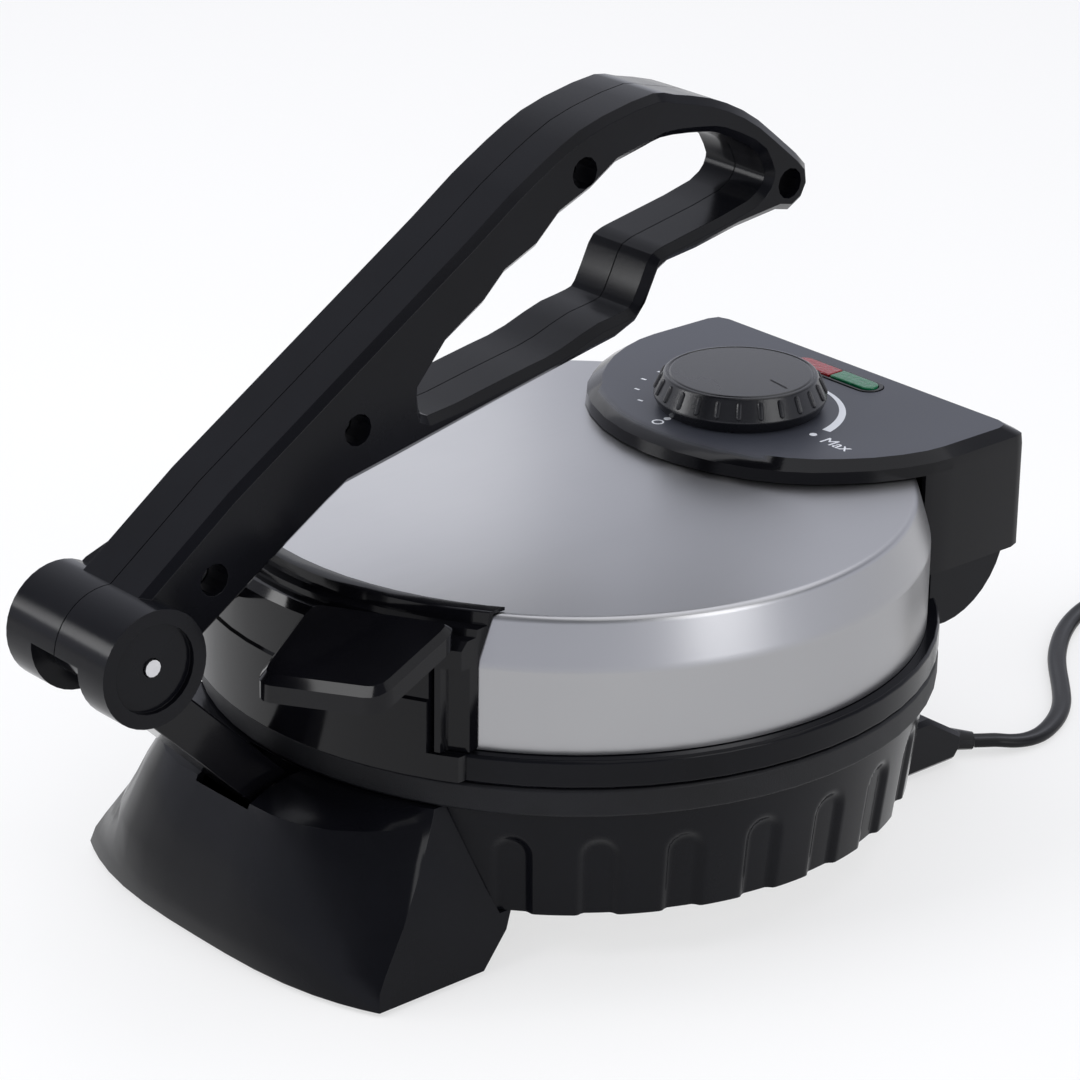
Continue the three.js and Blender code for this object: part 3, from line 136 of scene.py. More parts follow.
def moulded(name, low, high, rough, grain, depth, level=0.4):
    """Plastic, rubber or a casting: slow changes of tone and gloss under a fine grain."""
    material, ns, links = tree(name)
    shader = ns["Principled BSDF"]
    cloud = noise(ns, links, scale=22, detail=5)
    fine = noise(ns, links, scale=grain, detail=3)
    links.new(tint(ns, links, cloud, low, high), shader.inputs["Base Color"])
    links.new(spread(ns, links, cloud, *rough), shader.inputs["Roughness"])
    links.new(raised(ns, links, fine, depth), shader.inputs["Normal"])
    shader.inputs["Specular IOR Level"].default_value = level
    return material


def metal(name, low, high, rough, depth, stretch=(1, 1, 1), scale=60):
    """A metal with streaks in its gloss, drawn out where stretch is small."""
    material, ns, links = tree(name)
    shader = ns["Principled BSDF"]
    shader.inputs["Metallic"].default_value = 1
    streak = noise(ns, links, scale, detail=6, stretch=stretch, rough=0.65)
    cloud = noise(ns, links, scale=9, detail=3)
    links.new(tint(ns, links, cloud, low, high), shader.inputs["Base Color"])
    links.new(spread(ns, links, streak, *rough), shader.inputs["Roughness"])
    links.new(raised(ns, links, streak, depth), shader.inputs["Normal"])
    return material


def coloured_lens(name, colour):
    """A clear coloured plastic with a pebbled back."""
    material, ns, links = tree(name)
    shader = ns["Principled BSDF"]
    grain = noise(ns, links, scale=700, detail=2)
    dark = tuple(LENS_DARK_SHARE * part for part in colour)
    links.new(tint(ns, links, grain, dark, colour), shader.inputs["Base Color"])
    links.new(spread(ns, links, grain, *LENS_ROUGH), shader.inputs["Roughness"])
    links.new(raised(ns, links, grain, LENS_DEPTH, LENS_RELIEF), shader.inputs["Normal"])
    shader.inputs["Transmission Weight"].default_value = LENS_CLEAR
    shader.inputs["Specular IOR Level"].default_value = LENS_LEVEL
    return material


# The control panel is satin on its level top and glossy along the rim and the sides. Its level top is
# coloured a lighter grey than the rim, which is painted sheen.
RIM_COLOUR = (0.004, 0.004, 0.005, 1)
RIM_ROUGH = 0.12
# Colours of the level top, lighter than the plastic's own near black: painted sheen
TOP_SHEEN_LOW, TOP_SHEEN_HIGH = (0.046, 0.049, 0.062), (0.056, 0.060, 0.075)
PANEL_ROUGH = (0.34, 0.40)
PANEL_DEPTH, PANEL_LEVEL = 0.05, 0.18
LEVEL_FROM, LEVEL_TO = 0.97, 0.995


def panel_plastic(name):
    material, ns, links = tree(name)
    shader = ns["Principled BSDF"]
    where = ns.new("ShaderNodeTexCoord")
    split = ns.new("ShaderNodeSeparateXYZ")
    links.new(where.outputs["Normal"], split.inputs["Vector"])
    flat = spread(ns, links, split.outputs["Z"], 0, 1, LEVEL_FROM, LEVEL_TO)
    cloud = noise(ns, links, scale=18, detail=4)
    colour = ns.new("ShaderNodeMix")
    colour.data_type = "RGBA"
    links.new(flat, colour.inputs["Factor"])
    colour.inputs["A"].default_value = RIM_COLOUR
    # The level top gets the lighter grey (painted sheen), and the rim keeps the plastic's own near black
    links.new(tint(ns, links, cloud, TOP_SHEEN_LOW, TOP_SHEEN_HIGH), colour.inputs["B"])
    links.new(colour.outputs["Result"], shader.inputs["Base Color"])
    rough = ns.new("ShaderNodeMix")
    links.new(flat, rough.inputs["Factor"])
    rough.inputs["A"].default_value = RIM_ROUGH
    links.new(spread(ns, links, cloud, *PANEL_ROUGH), rough.inputs["B"])
    links.new(rough.outputs["Result"], shader.inputs["Roughness"])
    fine = noise(ns, links, scale=1500, detail=2)
    links.new(raised(ns, links, fine, PANEL_DEPTH), shader.inputs["Normal"])
    shader.inputs["Specular IOR Level"].default_value = PANEL_LEVEL
    return material


LOOKS = {
    "moulded_black": moulded("satin_black", (0.0030, 0.0031, 0.0042), (0.0048, 0.0050, 0.0068),
                             rough=(0.15, 0.20), grain=900, depth=0.04, level=0.13),
    "textured_black": moulded("textured_black", (0.0042, 0.0042, 0.0050), (0.010, 0.0104, 0.0125),
                              rough=(0.40, 0.55), grain=2200, depth=0.5, level=0.2),
    "gloss_black": moulded("gloss_black", (0.0024, 0.0024, 0.0032), (0.0036, 0.0036, 0.0048),
                           rough=(0.08, 0.14), grain=350, depth=0.02, level=0.22),
    "brushed_steel": metal("brushed_steel", (0.355, 0.355, 0.365), (0.38, 0.38, 0.387),
                           rough=(0.30, 0.33), depth=0.01, stretch=(1, 0.03, 1), scale=1500),
    "tray_steel": metal("tray_steel", (0.48, 0.48, 0.47), (0.60, 0.60, 0.59), rough=(0.30, 0.45), depth=0.05),
    "cast_plate": moulded("cast_plate", (0.020, 0.020, 0.021), (0.032, 0.032, 0.033),
                          rough=(0.38, 0.5), grain=1500, depth=0.35),
    "element_steel": metal("element_steel", (0.26, 0.22, 0.18), (0.42, 0.40, 0.37),
                           rough=(0.35, 0.5), depth=0.08),
    "zinc_steel": metal("zinc_steel", (0.55, 0.55, 0.56), (0.66, 0.66, 0.68),
                        rough=(0.25, 0.38), depth=0.06, scale=300),
    "pad_rubber": moulded("pad_rubber", (0.012, 0.012, 0.012), (0.02, 0.02, 0.02),
                          rough=(0.7, 0.85), grain=1200, depth=0.4, level=0.2),
    "cord_black": moulded("cord_black", (0.003, 0.003, 0.004), (0.006, 0.006, 0.007),
                          rough=(0.28, 0.4), grain=800, depth=0.10, level=0.2),
    "ceramic": moulded("ceramic", (0.55, 0.52, 0.45), (0.68, 0.65, 0.58),
                       rough=(0.55, 0.7), grain=900, depth=0.25),
    "red_lens": coloured_lens("red_lens", (0.34, 0.010, 0.016)),
    "green_lens": coloured_lens("green_lens", (0.003, 0.19, 0.075)),
    "brass": metal("brass", (0.62, 0.45, 0.20), (0.74, 0.56, 0.27), rough=(0.2, 0.32), depth=0.05),
}
KNOB_LOOK = moulded("knob_black", (0.0042, 0.0043, 0.0058), (0.0075, 0.0078, 0.010),
                    rough=(0.2, 0.3), grain=1700, depth=0.18)
PANEL_LOOK = panel_plastic("panel_black")
PRINT_LOOK = moulded("white_print", (0.70, 0.72, 0.76), (0.78, 0.80, 0.84),
                     rough=(0.45, 0.55), grain=1200, depth=0.1)
slot_of = {part["node"]: part["material_slot"] for part in frame["record"]["subparts"]}
body_of = {node: body for body, members in frame["record"]["behaviour"]["bodies"].items() for node in members}

# Finer copies of the moulded pieces: how far their edges are rounded
ROUNDS = {
    "lever_left": 1.5, "lever_right": 1.5, "front_housing": 0.8, "control_panel": 0.5, "front_foot": 1.0,
    "base_ring": 0.3, "lid_ring": 0.3, "hinge_cover": 0.6, "rear_foot": 0.5, "link_arm": 0.7,
    "lamp_holder": 0.2, "red_lens": 0.4, "green_lens": 0.4, "plug_body": 0.8, "strain_relief": 0.3,
}
ROUND_STEPS = 3
# Degrees: an edge flatter than FLAT_ANGLE is dissolved, and one steeper than ROUND_ANGLE is rounded. An edge
# steeper than a SHARP value is shaded sharp.
FLAT_ANGLE, ROUND_ANGLE = 0.6, 28
SHARP_OWN, SHARP_CAD, SHARP_LEAD = 32, 30, 40
# Metres: corners nearer than this are one corner. The first closes the solids' smallest ledges.
LEDGE_MERGE, SEAM_MERGE = 6e-5, 2e-6


def smooth(mesh, degrees):
    mesh.polygons.foreach_set("use_smooth", [True] * len(mesh.polygons))
    mesh.set_sharp_from_angle(angle=math.radians(degrees))


def evaluated(piece):
    """Turns the piece's modifiers into its mesh."""
    done = bpy.data.meshes.new_from_object(piece.evaluated_get(bpy.context.evaluated_depsgraph_get()))
    piece.modifiers.clear()
    piece.data = done


def settled(piece):
    """Shades level faces level: the larger of two faces decides how their shared edge is lit."""
    smooth(piece.data, SHARP_OWN)
    weights = piece.modifiers.new("weights", "WEIGHTED_NORMAL")
    weights.keep_sharp = True
    evaluated(piece)


def dressed(node, width):
    """A copy of a node's solid with rounded edges."""
    mesh = nodes[node].data.copy()
    work = bmesh.new()
    work.from_mesh(mesh)
    bmesh.ops.remove_doubles(work, verts=work.verts, dist=LEDGE_MERGE)
    bmesh.ops.dissolve_limit(work, angle_limit=math.radians(FLAT_ANGLE), verts=work.verts, edges=work.edges)
    work.to_mesh(mesh)
    work.free()
    mesh.materials.clear()
    piece = bpy.data.objects.new(f"{node}_shell", mesh)
    bpy.context.scene.collection.objects.link(piece)
    rounds = piece.modifiers.new("rounds", "BEVEL")
    rounds.width = width / 1000
    rounds.segments = ROUND_STEPS
    rounds.limit_method = "ANGLE"
    rounds.angle_limit = math.radians(ROUND_ANGLE)
    rounds.use_clamp_overlap = True
    evaluated(piece)
    work = bmesh.new()
    work.from_mesh(piece.data)
    bmesh.ops.triangulate(work, faces=[face for face in work.faces if len(face.verts) > 4])
    work.to_mesh(piece.data)
    work.free()
    return piece


def built(name, work):
    bmesh.ops.remove_doubles(work, verts=work.verts, dist=SEAM_MERGE)
    bmesh.ops.recalc_face_normals(work, faces=work.faces)
    mesh = bpy.data.meshes.new(name)
    work.to_mesh(mesh)
    work.free()
    piece = bpy.data.objects.new(name, mesh)
    bpy.context.scene.collection.objects.link(piece)
    return piece


def full_turn(steps, start=0.0):
    return [start + 2 * math.pi * i / steps for i in range(steps)]


def skinned(work, rings):
    """Faces between each ring of corners and the next."""
    for low, high in zip(rings, rings[1:]):
        for i in range(len(low)):
            k = (i + 1) % len(low)
            work.faces.new((low[i], low[k], high[k], high[i]))


def lathed(work, profile, steps, centre=(0, 0)):
    turns = full_turn(steps)
    rings = []
    for r, z in profile:
        places = [(centre[0] + r * math.cos(a), centre[1] + r * math.sin(a), z) for a in turns]
        rings.append([work.verts.new(at(*place)) for place in places])
    skinned(work, rings)


# A rod's domed end: its shoulder lies this share of the radius out and in, and its tip is this share wide
SHOULDER, TIP = 0.7, 0.02
ROD_STEPS = 10


def rod(work, start, end, radius):
    """A round bar with domed ends."""
    a, b = Vector(start), Vector(end)
    ahead = (b - a).normalized()
    side = ahead.orthogonal().normalized()
    top = ahead.cross(side)
    rows = [
        (a - ahead * radius, TIP), (a - ahead * radius * SHOULDER, SHOULDER), (a, 1),
        (b, 1), (b + ahead * radius * SHOULDER, SHOULDER), (b + ahead * radius, TIP),
    ]
    rings = []
    for place, share in rows:
        around_axis = [math.cos(t) * side + math.sin(t) * top for t in full_turn(ROD_STEPS)]
        rings.append([work.verts.new(at(*(place + radius * share * out))) for out in around_axis])
    skinned(work, rings)
    work.faces.new(rings[0][::-1])
    work.faces.new(rings[-1])


def eased(value, low, high):
    share = min(1, max(0, (value - low) / (high - low)))
    return share * share * (3 - 2 * share)


# Thermostat knob: a turned cap with ribs on its cone and a short line on top. Profiles are radius and height.
PANEL_TOP = 57.0
KNOB_PLACE = (0, 72.5)
KNOB_STEPS = 96
KNOB_PROFILE = [
    (0, 62.3), (21.5, 62.3), (23.8, 57.5), (26.0, 57.5), (26.3, 57.7), (27.7, 60.6), (27.8, 61.1),
    (27.65, 61.5), (24.95, 67.2), (24.8, 67.7), (24.5, 68.1), (24.1, 68.3), (23.6, 68.3), (23.3, 68.05),
    (23.0, 68.05), (22.7, 68.3), (22.3, 68.4), (0, 68.4),
]
KNOB_RIBS = 24
KNOB_RIB_ENDS = ((26.95, 62.6), (25.15, 66.4))
KNOB_RIB_RADIUS = 0.95
KNOB_LINE = ((11.7, 2.0), (19.9, 0.7))
KNOB_LINE_HEIGHT = 68.25
KNOB_LINE_RADIUS = 0.42


def knob_shell():
    work = bmesh.new()
    lathed(work, KNOB_PROFILE, KNOB_STEPS, KNOB_PLACE)
    for turn in full_turn(KNOB_RIBS):
        ends = [(KNOB_PLACE[0] + r * math.cos(turn), KNOB_PLACE[1] + r * math.sin(turn), z)
                for r, z in KNOB_RIB_ENDS]
        rod(work, *ends, KNOB_RIB_RADIUS)
    line = [(KNOB_PLACE[0] + x, KNOB_PLACE[1] + y, KNOB_LINE_HEIGHT) for x, y in KNOB_LINE]
    rod(work, *line, KNOB_LINE_RADIUS)
    return built("thermostat_knob_shell", work)


# Dial marks on the panel: four dashes, a ring and a dot for off, a widening bow, and a dot and a word for
# full heat
MARK_LOW, MARK_HIGH = PANEL_TOP - 0.1, PANEL_TOP + 0.06
DASHES = [(-38.4, 73.4), (-36.9, 64.8), (-31.5, 56.9), (-23.2, 50.7)]
DASH_CORNERS = ((-0.95, -0.55), (0.95, -0.25), (0.95, 0.45), (-0.95, 0.25))
DOTS = [(-5.7, 46.2, 1.2), (33.6, 72.1, 1.25)]
DOT_STEPS = 28
OFF_RING = (-5.5, 41.9, 2.0, 1.45)
BOW_START, BOW_END = math.radians(80), math.radians(8.5)
BOW_OUTER, BOW_OUTER_GROWTH = 31.6, 4.2
BOW_INNER, BOW_INNER_GROWTH = 30.6, 2.1
BOW_STEPS = 32
WORD_PLACE = (38.6, 69.3)
WORD_SIZE = 6.9


def prism(work, points, z0=MARK_LOW, z1=MARK_HIGH):
    low = [work.verts.new(at(x, y, z0)) for x, y in points]
    high = [work.verts.new(at(x, y, z1)) for x, y in points]
    work.faces.new(high)
    work.faces.new(low[::-1])
    skinned(work, [low, high])


def band(work, outer, inner, closed):
    """A flat strip between two rows of points."""
    count = len(outer)
    for i in range(count if closed else count - 1):
        k = (i + 1) % count
        prism(work, [outer[i], outer[k], inner[k], inner[i]])


def around(x, y, r):
    return [(x + r * math.cos(turn), y + r * math.sin(turn)) for turn in full_turn(DOT_STEPS)]


def word_mesh(word):
    text = bpy.data.curves.new("word", "FONT")
    text.body = word
    text.size = WORD_SIZE / 1000
    text.extrude = (MARK_HIGH - MARK_LOW) / 2000
    piece = bpy.data.objects.new("word", text)
    bpy.context.scene.collection.objects.link(piece)
    letters = bpy.data.meshes.new_from_object(piece.evaluated_get(bpy.context.evaluated_depsgraph_get()))
    letters.transform(Matrix.Translation(at(*WORD_PLACE, (MARK_LOW + MARK_HIGH) / 2)))
    bpy.data.objects.remove(piece)
    return letters


def dial_marks():
    work = bmesh.new()
    for x, y in DASHES:
        prism(work, [(x + across, y + along) for across, along in DASH_CORNERS])
    for x, y, r in DOTS:
        prism(work, around(x, y, r))
    x, y, outer, inner = OFF_RING
    band(work, around(x, y, outer), around(x, y, inner), True)
    rows = [[], []]
    for i in range(BOW_STEPS + 1):
        share = i / BOW_STEPS
        turn = BOW_START + (BOW_END - BOW_START) * share
        reaches = (BOW_OUTER + BOW_OUTER_GROWTH * share, BOW_INNER + BOW_INNER_GROWTH * share)
        for row, reach in zip(rows, reaches):
            row.append((KNOB_PLACE[0] + reach * math.cos(turn), KNOB_PLACE[1] + reach * math.sin(turn)))
    band(work, rows[0], rows[1], False)
    work.from_mesh(word_mesh("Max"))
    return work


def with_marks(panel):
    """Adds the marks to the panel, as faces of a second material."""
    marks = bpy.data.meshes.new("marks")
    printed = dial_marks()
    printed.to_mesh(marks)
    printed.free()
    work = bmesh.new()
    work.from_mesh(panel.data)
    count = len(work.faces)
    work.from_mesh(marks)
    for i, face in enumerate(work.faces):
        face.material_index = 0 if i < count else 1
    panel.data.materials.append(PANEL_LOOK)
    panel.data.materials.append(PRINT_LOOK)
    work.to_mesh(panel.data)
    work.free()


# Base bowl: soft arched flutes all round, but for the stretches behind the feet
FRONT = math.radians(-90)
BOWL_TOP, BOWL_LOW = (113.0, -9.3), (108.6, -44.5)
BOWL_WALL = 5.6
FLUTES = 27
FLUTE_HALF, FLUTE_HIGH, FLUTE_DEPTH, FLUTE_EDGE = 6.7, -17.5, 1.7, 2.6
FLUTE_STEPS, BOWL_ROWS = 26, 26
BEHIND_FOOT = 71.3
# Screw bosses inside the bowl, each with a rib that runs out to the wall
BOSS_CIRCLE, BOSS_TURNS = 96.0, (40, 140, 220, 320)
BOSS_LOW, BOSS_HIGH = -41.7, -28.0
BOSS_BORE, BOSS_RADIUS, BOSS_STEPS = 2.1, 5, 24
BOSS_RIB_START, BOSS_RIB_END, BOSS_RIB_HALF = 100.6, 104, 2.5


def flute_depth(turn, z):
    """How deep the skin lies here, with turn counted in flutes from the front."""
    nearest = round(turn)
    middle = math.radians(-90 + 360 * nearest / FLUTES)
    if abs(math.cos(middle)) * BOWL_TOP[0] < BEHIND_FOOT:
        return 0
    across = (turn - nearest) * 2 * math.pi / FLUTES * BOWL_TOP[0]
    inside = FLUTE_HALF - math.hypot(across, max(0, z - FLUTE_HIGH + FLUTE_HALF))
    return FLUTE_DEPTH * eased(inside, 0, FLUTE_EDGE)


def screw_boss(work, turn):
    x, y = BOSS_CIRCLE * math.cos(turn), BOSS_CIRCLE * math.sin(turn)
    profile = [(BOSS_BORE, BOSS_LOW), (BOSS_RADIUS, BOSS_LOW), (BOSS_RADIUS, BOSS_HIGH),
               (BOSS_BORE, BOSS_HIGH), (BOSS_BORE, BOSS_LOW)]
    lathed(work, profile, BOSS_STEPS, (x, y))
    side = (-math.sin(turn), math.cos(turn))
    corners = ((BOSS_RIB_START, -BOSS_RIB_HALF), (BOSS_RIB_END, -BOSS_RIB_HALF),
               (BOSS_RIB_END, BOSS_RIB_HALF), (BOSS_RIB_START, BOSS_RIB_HALF))
    rib = [(reach * math.cos(turn) + off * side[0], reach * math.sin(turn) + off * side[1])
           for reach, off in corners]
    prism(work, rib, BOSS_LOW, BOSS_HIGH)


def bowl_shell():
    work = bmesh.new()
    steps = FLUTES * FLUTE_STEPS
    rings = []
    for row in range(BOWL_ROWS + 1):
        share = row / BOWL_ROWS
        r, z = [a + (b - a) * share for a, b in zip(BOWL_TOP, BOWL_LOW)]
        rings.append([(r - flute_depth(i / FLUTE_STEPS, z), z) for i in range(steps)])
    rings.append([(BOWL_LOW[0] - BOWL_WALL, BOWL_LOW[1])] * steps)
    rings.append([(BOWL_TOP[0] - BOWL_WALL, BOWL_TOP[1])] * steps)
    turns = full_turn(steps, FRONT)
    placed = []
    for ring in rings:
        places = [(r * math.cos(a), r * math.sin(a), z) for a, (r, z) in zip(turns, ring)]
        placed.append([work.verts.new(at(*place)) for place in places])
    skinned(work, placed + placed[:1])
    for turn in map(math.radians, BOSS_TURNS):
        screw_boss(work, turn)
    return built("base_bowl_shell", work)


# Steel cover: turned, then cut behind for the panel's box and through its top for the knob's shaft
STEEL_STEPS = 240
STEEL_PROFILE = [
    (112.0, 9.3), (112.0, 34.4), (111.95, 35.0), (111.75, 35.9), (111.45, 37.05), (108.0, 48.3),
    (107.7, 49.2), (107.1, 49.85), (106.3, 50.15), (105.4, 50.2), (0, 50.2), (0, 49.0), (105.0, 48.6),
    (106.3, 47.4), (109.6, 37.6), (110.6, 35.8), (110.8, 34.0), (110.8, 9.3), (112.0, 9.3),
]
OPENING = (-71.3, 71.3, 84.8, 130.0, 0.0, 60.0)
SHAFT_HOLE = (-7.4, 7.4, KNOB_PLACE[1] - 7.4, KNOB_PLACE[1] + 7.4, 40, 60)


def boxed(name, x0, x1, y0, y1, z0, z1):
    work = bmesh.new()
    bmesh.ops.create_cube(work, size=1)
    for vert in work.verts:
        x, y, z = [share + 0.5 for share in vert.co]
        vert.co = at(x0 + (x1 - x0) * x, y0 + (y1 - y0) * y, z0 + (z1 - z0) * z)
    return built(name, work)


def cut(piece, tool):
    difference = piece.modifiers.new("cut", "BOOLEAN")
    difference.object = tool
    difference.operation = "DIFFERENCE"
    difference.solver = "EXACT"
    evaluated(piece)
    bpy.data.objects.remove(tool)


def steel_shell():
    work = bmesh.new()
    lathed(work, STEEL_PROFILE, STEEL_STEPS)
    piece = built("steel_cover_shell", work)
    cut(piece, boxed("opening", *OPENING))
    cut(piece, boxed("shaft_hole", *SHAFT_HOLE))
    return piece


# Every node gets its look. Nodes in OWN and ROUNDS get a finer piece, and the lead below stands for the
# solids of the cord.
OWN = {"thermostat_knob": knob_shell, "steel_cover": steel_shell, "base_bowl": bowl_shell}
CORD_SOLIDS = ("power_cord", "cord_coil")
for node in sorted(nodes):
    if node in CORD_SOLIDS:
        continue
    if node in ROUNDS or node in OWN:
        piece = OWN[node]() if node in OWN else dressed(node, ROUNDS[node])
        if node == "control_panel":
            with_marks(piece)
        settled(piece)
        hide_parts(node)
        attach(piece, body_of[node])
    else:
        piece = nodes[node]
        smooth(piece.data, SHARP_CAD)
    if node != "control_panel":
        piece.data.materials.clear()
        piece.data.materials.append(KNOB_LOOK if node == "thermostat_knob" else LOOKS[slot_of[node]])

# Cord: the free stretch and the coil are one flat twin lead. The points are the centres of its path.
CORD_WIDTH = 6.5
CORD_THICKNESS = 3.3
ROUTE = [
    (59.0, 127.2, -56.75), (61.2, 130.2, -56.75), (63.1, 132.85, -56.75), (64.4, 134.75, -56.95),
    (66.3, 138.8, -57.7), (67.6, 144.5, -58.3), (67.2, 151.5, -58.55), (64.3, 160.0, -58.6),
    (60.2, 167.8, -58.6), (55.0, 175.0, -58.6), (49.0, 181.5, -58.6), (42.4, 188.0, -58.6),
    (35.6, 194.6, -58.6), (29.0, 201.6, -58.6), (22.8, 209.4, -58.6), (17.2, 217.6, -58.6),
    (12.4, 226.2, -58.6), (8.6, 235.2, -58.55), (6.0, 244.4, -58.5), (4.6, 253.6, -58.2),
    (4.05, 262.0, -57.9), (4.0, 268.4, -57.85),
]
COIL_CENTRE = (45, 275)
COIL_RADIUS = 41
COIL_PITCH = 7.4
COIL_LAYER = 4.2
COIL_TURNS = 3.5
COIL_STEPS = 24
COIL_FLOOR = -57.85
# The coil winds inwards for half its turns and climbs a layer where it reverses, between these two turns
CLIMB_START = COIL_TURNS / 2 - 0.21
CLIMB_END = COIL_TURNS / 2 + 0.17
PLUG_LEAD = 20
PLUG_LEAD_SHARES = (0.25, 0.5, 0.75, 1.0)
FINE_STEPS = 3
# Degrees of each half's round outline, from the groove on one side to the groove on the other
HALF_OUTLINE = range(-125, 126, 25)


def coil_point(turn):
    radius = COIL_RADIUS - COIL_PITCH * (turn if turn < COIL_TURNS / 2 else COIL_TURNS - turn)
    angle = math.pi - 2 * math.pi * turn
    lift = COIL_LAYER * eased(turn, CLIMB_START, CLIMB_END)
    x = COIL_CENTRE[0] + radius * math.cos(angle)
    y = COIL_CENTRE[1] + radius * math.sin(angle)
    return (x, y, COIL_FLOOR + lift)


def smooth_path(points, per):
    """A smooth curve through the points, with per steps between each two."""
    fine = []
    for i in range(len(points) - 1):
        p = [Vector(points[min(max(i + k, 0), len(points) - 1)]) for k in (-1, 0, 1, 2)]
        for j in range(per):
            t = j / per
            bend = 2 * p[0] - 5 * p[1] + 4 * p[2] - p[3]
            twist = 3 * p[1] - p[0] - 3 * p[2] + p[3]
            fine.append(0.5 * ((2 * p[1]) + (p[2] - p[0]) * t + bend * t * t + twist * t ** 3))
    return fine + [Vector(points[-1])]


def flat_lead(points, name):
    """A lead of two round halves side by side, swept along the points."""
    groove = CORD_THICKNESS / 2
    centre = CORD_WIDTH / 2 - groove
    section = []
    for angle in map(math.radians, HALF_OUTLINE):
        section.append((centre + groove * math.cos(angle), groove * math.sin(angle)))
    section += [(-a, -b) for a, b in section]
    verts, faces = [], []
    for i, p in enumerate(points):
        ahead = (points[min(i + 1, len(points) - 1)] - points[max(i - 1, 0)]).normalized()
        side = ahead.cross(Vector((0, 0, 1))).normalized()
        top = side.cross(ahead)
        verts += [at(*(p + side * a + top * b)) for a, b in section]
    n = len(section)
    for i in range(len(points) - 1):
        for j in range(n):
            k = (j + 1) % n
            faces.append((i * n + j, i * n + k, (i + 1) * n + k, (i + 1) * n + j))
    faces.append(tuple(range(n))[::-1])
    faces.append(tuple((len(points) - 1) * n + j for j in range(n)))
    mesh = bpy.data.meshes.new(name)
    mesh.from_pydata(verts, [], faces)
    work = bmesh.new()
    work.from_mesh(mesh)
    bmesh.ops.recalc_face_normals(work, faces=work.faces)
    work.to_mesh(mesh)
    work.free()
    smooth(mesh, SHARP_LEAD)
    piece = bpy.data.objects.new(name, mesh)
    bpy.context.scene.collection.objects.link(piece)
    return piece


coil_count = round(COIL_STEPS * COIL_TURNS)
path = ROUTE + [coil_point(COIL_TURNS * i / coil_count) for i in range(coil_count + 1)]
last = path[-1]
path += [(last[0], last[1] - PLUG_LEAD * share, last[2]) for share in PLUG_LEAD_SHARES]
fine_path = smooth_path(path, FINE_STEPS)
lead = flat_lead(fine_path, "mains_lead")
lead.data.materials.append(LOOKS["cord_black"])
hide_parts(*CORD_SOLIDS)
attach(lead, "base")

# Floor, in metres. What the camera, a mirror or glass sees of it is partly plain white, by FLOOR_WHITE.
FLOOR_HALF = 6
FLOOR_LOW, FLOOR_HIGH = (0.88, 0.88, 0.885), (0.91, 0.91, 0.915)
FLOOR_WHITE = 0.62
FLOOR_ROUGH, FLOOR_LEVEL = 0.9, 0.1


def seen_directly(ns, links):
    """1 for what the camera, a mirror or glass shows, 0 for the light that falls on things."""
    light_path = ns.new("ShaderNodeLightPath")
    total = light_path.outputs["Is Camera Ray"]
    for kind in ("Is Glossy Ray", "Is Transmission Ray"):
        larger = ns.new("ShaderNodeMath")
        larger.operation = "MAXIMUM"
        links.new(total, larger.inputs[0])
        links.new(light_path.outputs[kind], larger.inputs[1])
        total = larger.outputs[0]
    return total


def floor_look():
    material, ns, links = tree("pale_floor")
    shader = ns["Principled BSDF"]
    cloud = noise(ns, links, scale=1.2, detail=2)
    links.new(tint(ns, links, cloud, FLOOR_LOW, FLOOR_HIGH), shader.inputs["Base Color"])
    shader.inputs["Roughness"].default_value = FLOOR_ROUGH
    shader.inputs["Specular IOR Level"].default_value = FLOOR_LEVEL
    white = ns.new("ShaderNodeEmission")
    white.inputs["Strength"].default_value = 1
    share = ns.new("ShaderNodeMath")
    share.operation = "MULTIPLY"
    share.inputs[1].default_value = FLOOR_WHITE
    links.new(seen_directly(ns, links), share.inputs[0])
    paler = ns.new("ShaderNodeMixShader")
    links.new(share.outputs[0], paler.inputs["Fac"])
    links.new(shader.outputs[0], paler.inputs[1])
    links.new(white.outputs[0], paler.inputs[2])
    links.new(paler.outputs[0], ns["Material Output"].inputs["Surface"])
    return material


floor_corners = [(x * FLOOR_HALF, y * FLOOR_HALF, 0) for x, y in ((-1, -1), (1, -1), (1, 1), (-1, 1))]
floor_mesh = bpy.data.meshes.new("floor")
floor_mesh.from_pydata(floor_corners, [], [(0, 1, 2, 3)])
floor_mesh.materials.append(floor_look())
floor = bpy.data.objects.new("floor", floor_mesh)
bpy.context.scene.collection.objects.link(floor)

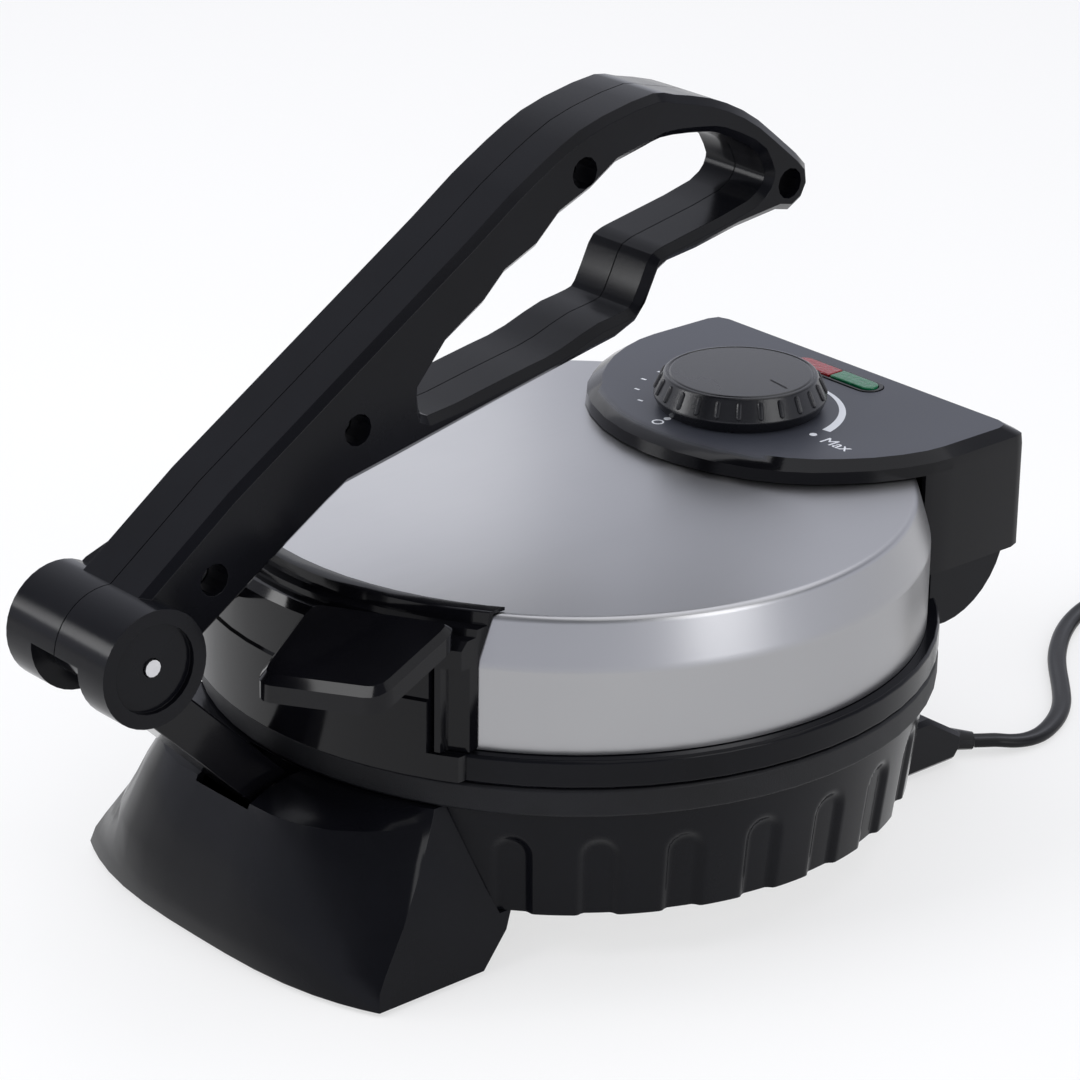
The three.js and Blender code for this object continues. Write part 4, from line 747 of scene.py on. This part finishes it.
# World: a soft light from above with one bright wall and a bright horizon, and the larger of the two counts
SKY_COLOUR = (0.88, 0.90, 1, 1)
BRIGHT_WALL = (-0.69, 0.61, 0.385)
WALL_DIM, WALL_BRIGHT, WALL_START, WALL_END = 0.25, 0.9, 0.1, 0.9
HORIZON_BRIGHT, HORIZON_DIM, HORIZON_START, HORIZON_END = 1.05, 0.25, 0.24, 0.5

world = bpy.data.worlds.new("studio")
bpy.context.scene.world = world
world.use_nodes = True
ns, links = world.node_tree.nodes, world.node_tree.links
sky = ns["Background"]
sky.inputs["Color"].default_value = SKY_COLOUR
where = ns.new("ShaderNodeTexCoord")
toward = ns.new("ShaderNodeVectorMath")
toward.operation = "DOT_PRODUCT"
toward.inputs[1].default_value = BRIGHT_WALL
links.new(where.outputs["Generated"], toward.inputs[0])
wall = spread(ns, links, toward.outputs["Value"], WALL_DIM, WALL_BRIGHT, WALL_START, WALL_END)
height = ns.new("ShaderNodeSeparateXYZ")
links.new(where.outputs["Generated"], height.inputs["Vector"])
horizon = spread(ns, links, height.outputs["Z"], HORIZON_BRIGHT, HORIZON_DIM, HORIZON_START, HORIZON_END)
brighter = ns.new("ShaderNodeMath")
brighter.operation = "MAXIMUM"
links.new(wall, brighter.inputs[0])
links.new(horizon, brighter.inputs[1])
links.new(brighter.outputs[0], sky.inputs["Strength"])


def lamp(name, place, target, size, power):
    """A soft lamp: place, target and size in metres, power in watts."""
    data = bpy.data.lights.new(name, "AREA")
    data.shape = "RECTANGLE"
    data.size, data.size_y = size
    data.energy = power
    obj = bpy.data.objects.new(name, data)
    bpy.context.scene.collection.objects.link(obj)
    obj.location = place
    obj.rotation_euler = (Vector(target) - Vector(place)).to_track_quat("-Z", "Y").to_euler()
    obj.visible_camera = False


lamp("key", place=(-0.5, -1.3, 1.3), target=(0, 0, 0.05), size=(1.0, 0.8), power=13)
lamp("top", place=(0.1, 0.5, 1.7), target=(0, 0, 0.05), size=(2.6, 1.8), power=14)
lamp("side", place=(1.5, 0.2, 0.8), target=(0, 0, 0.1), size=(0.7, 1.0), power=7)
lamp("front", place=(-0.9, -1.0, 0.55), target=(0, 0.05, 0.1), size=(0.35, 0.35), power=3)
lamp("glow", place=(-0.325, 0.209, 0.261), target=(-0.035, -0.024, 0.111), size=(0.14, 0.12), power=0.04)

bpy.context.scene.view_settings.view_transform = "Standard"
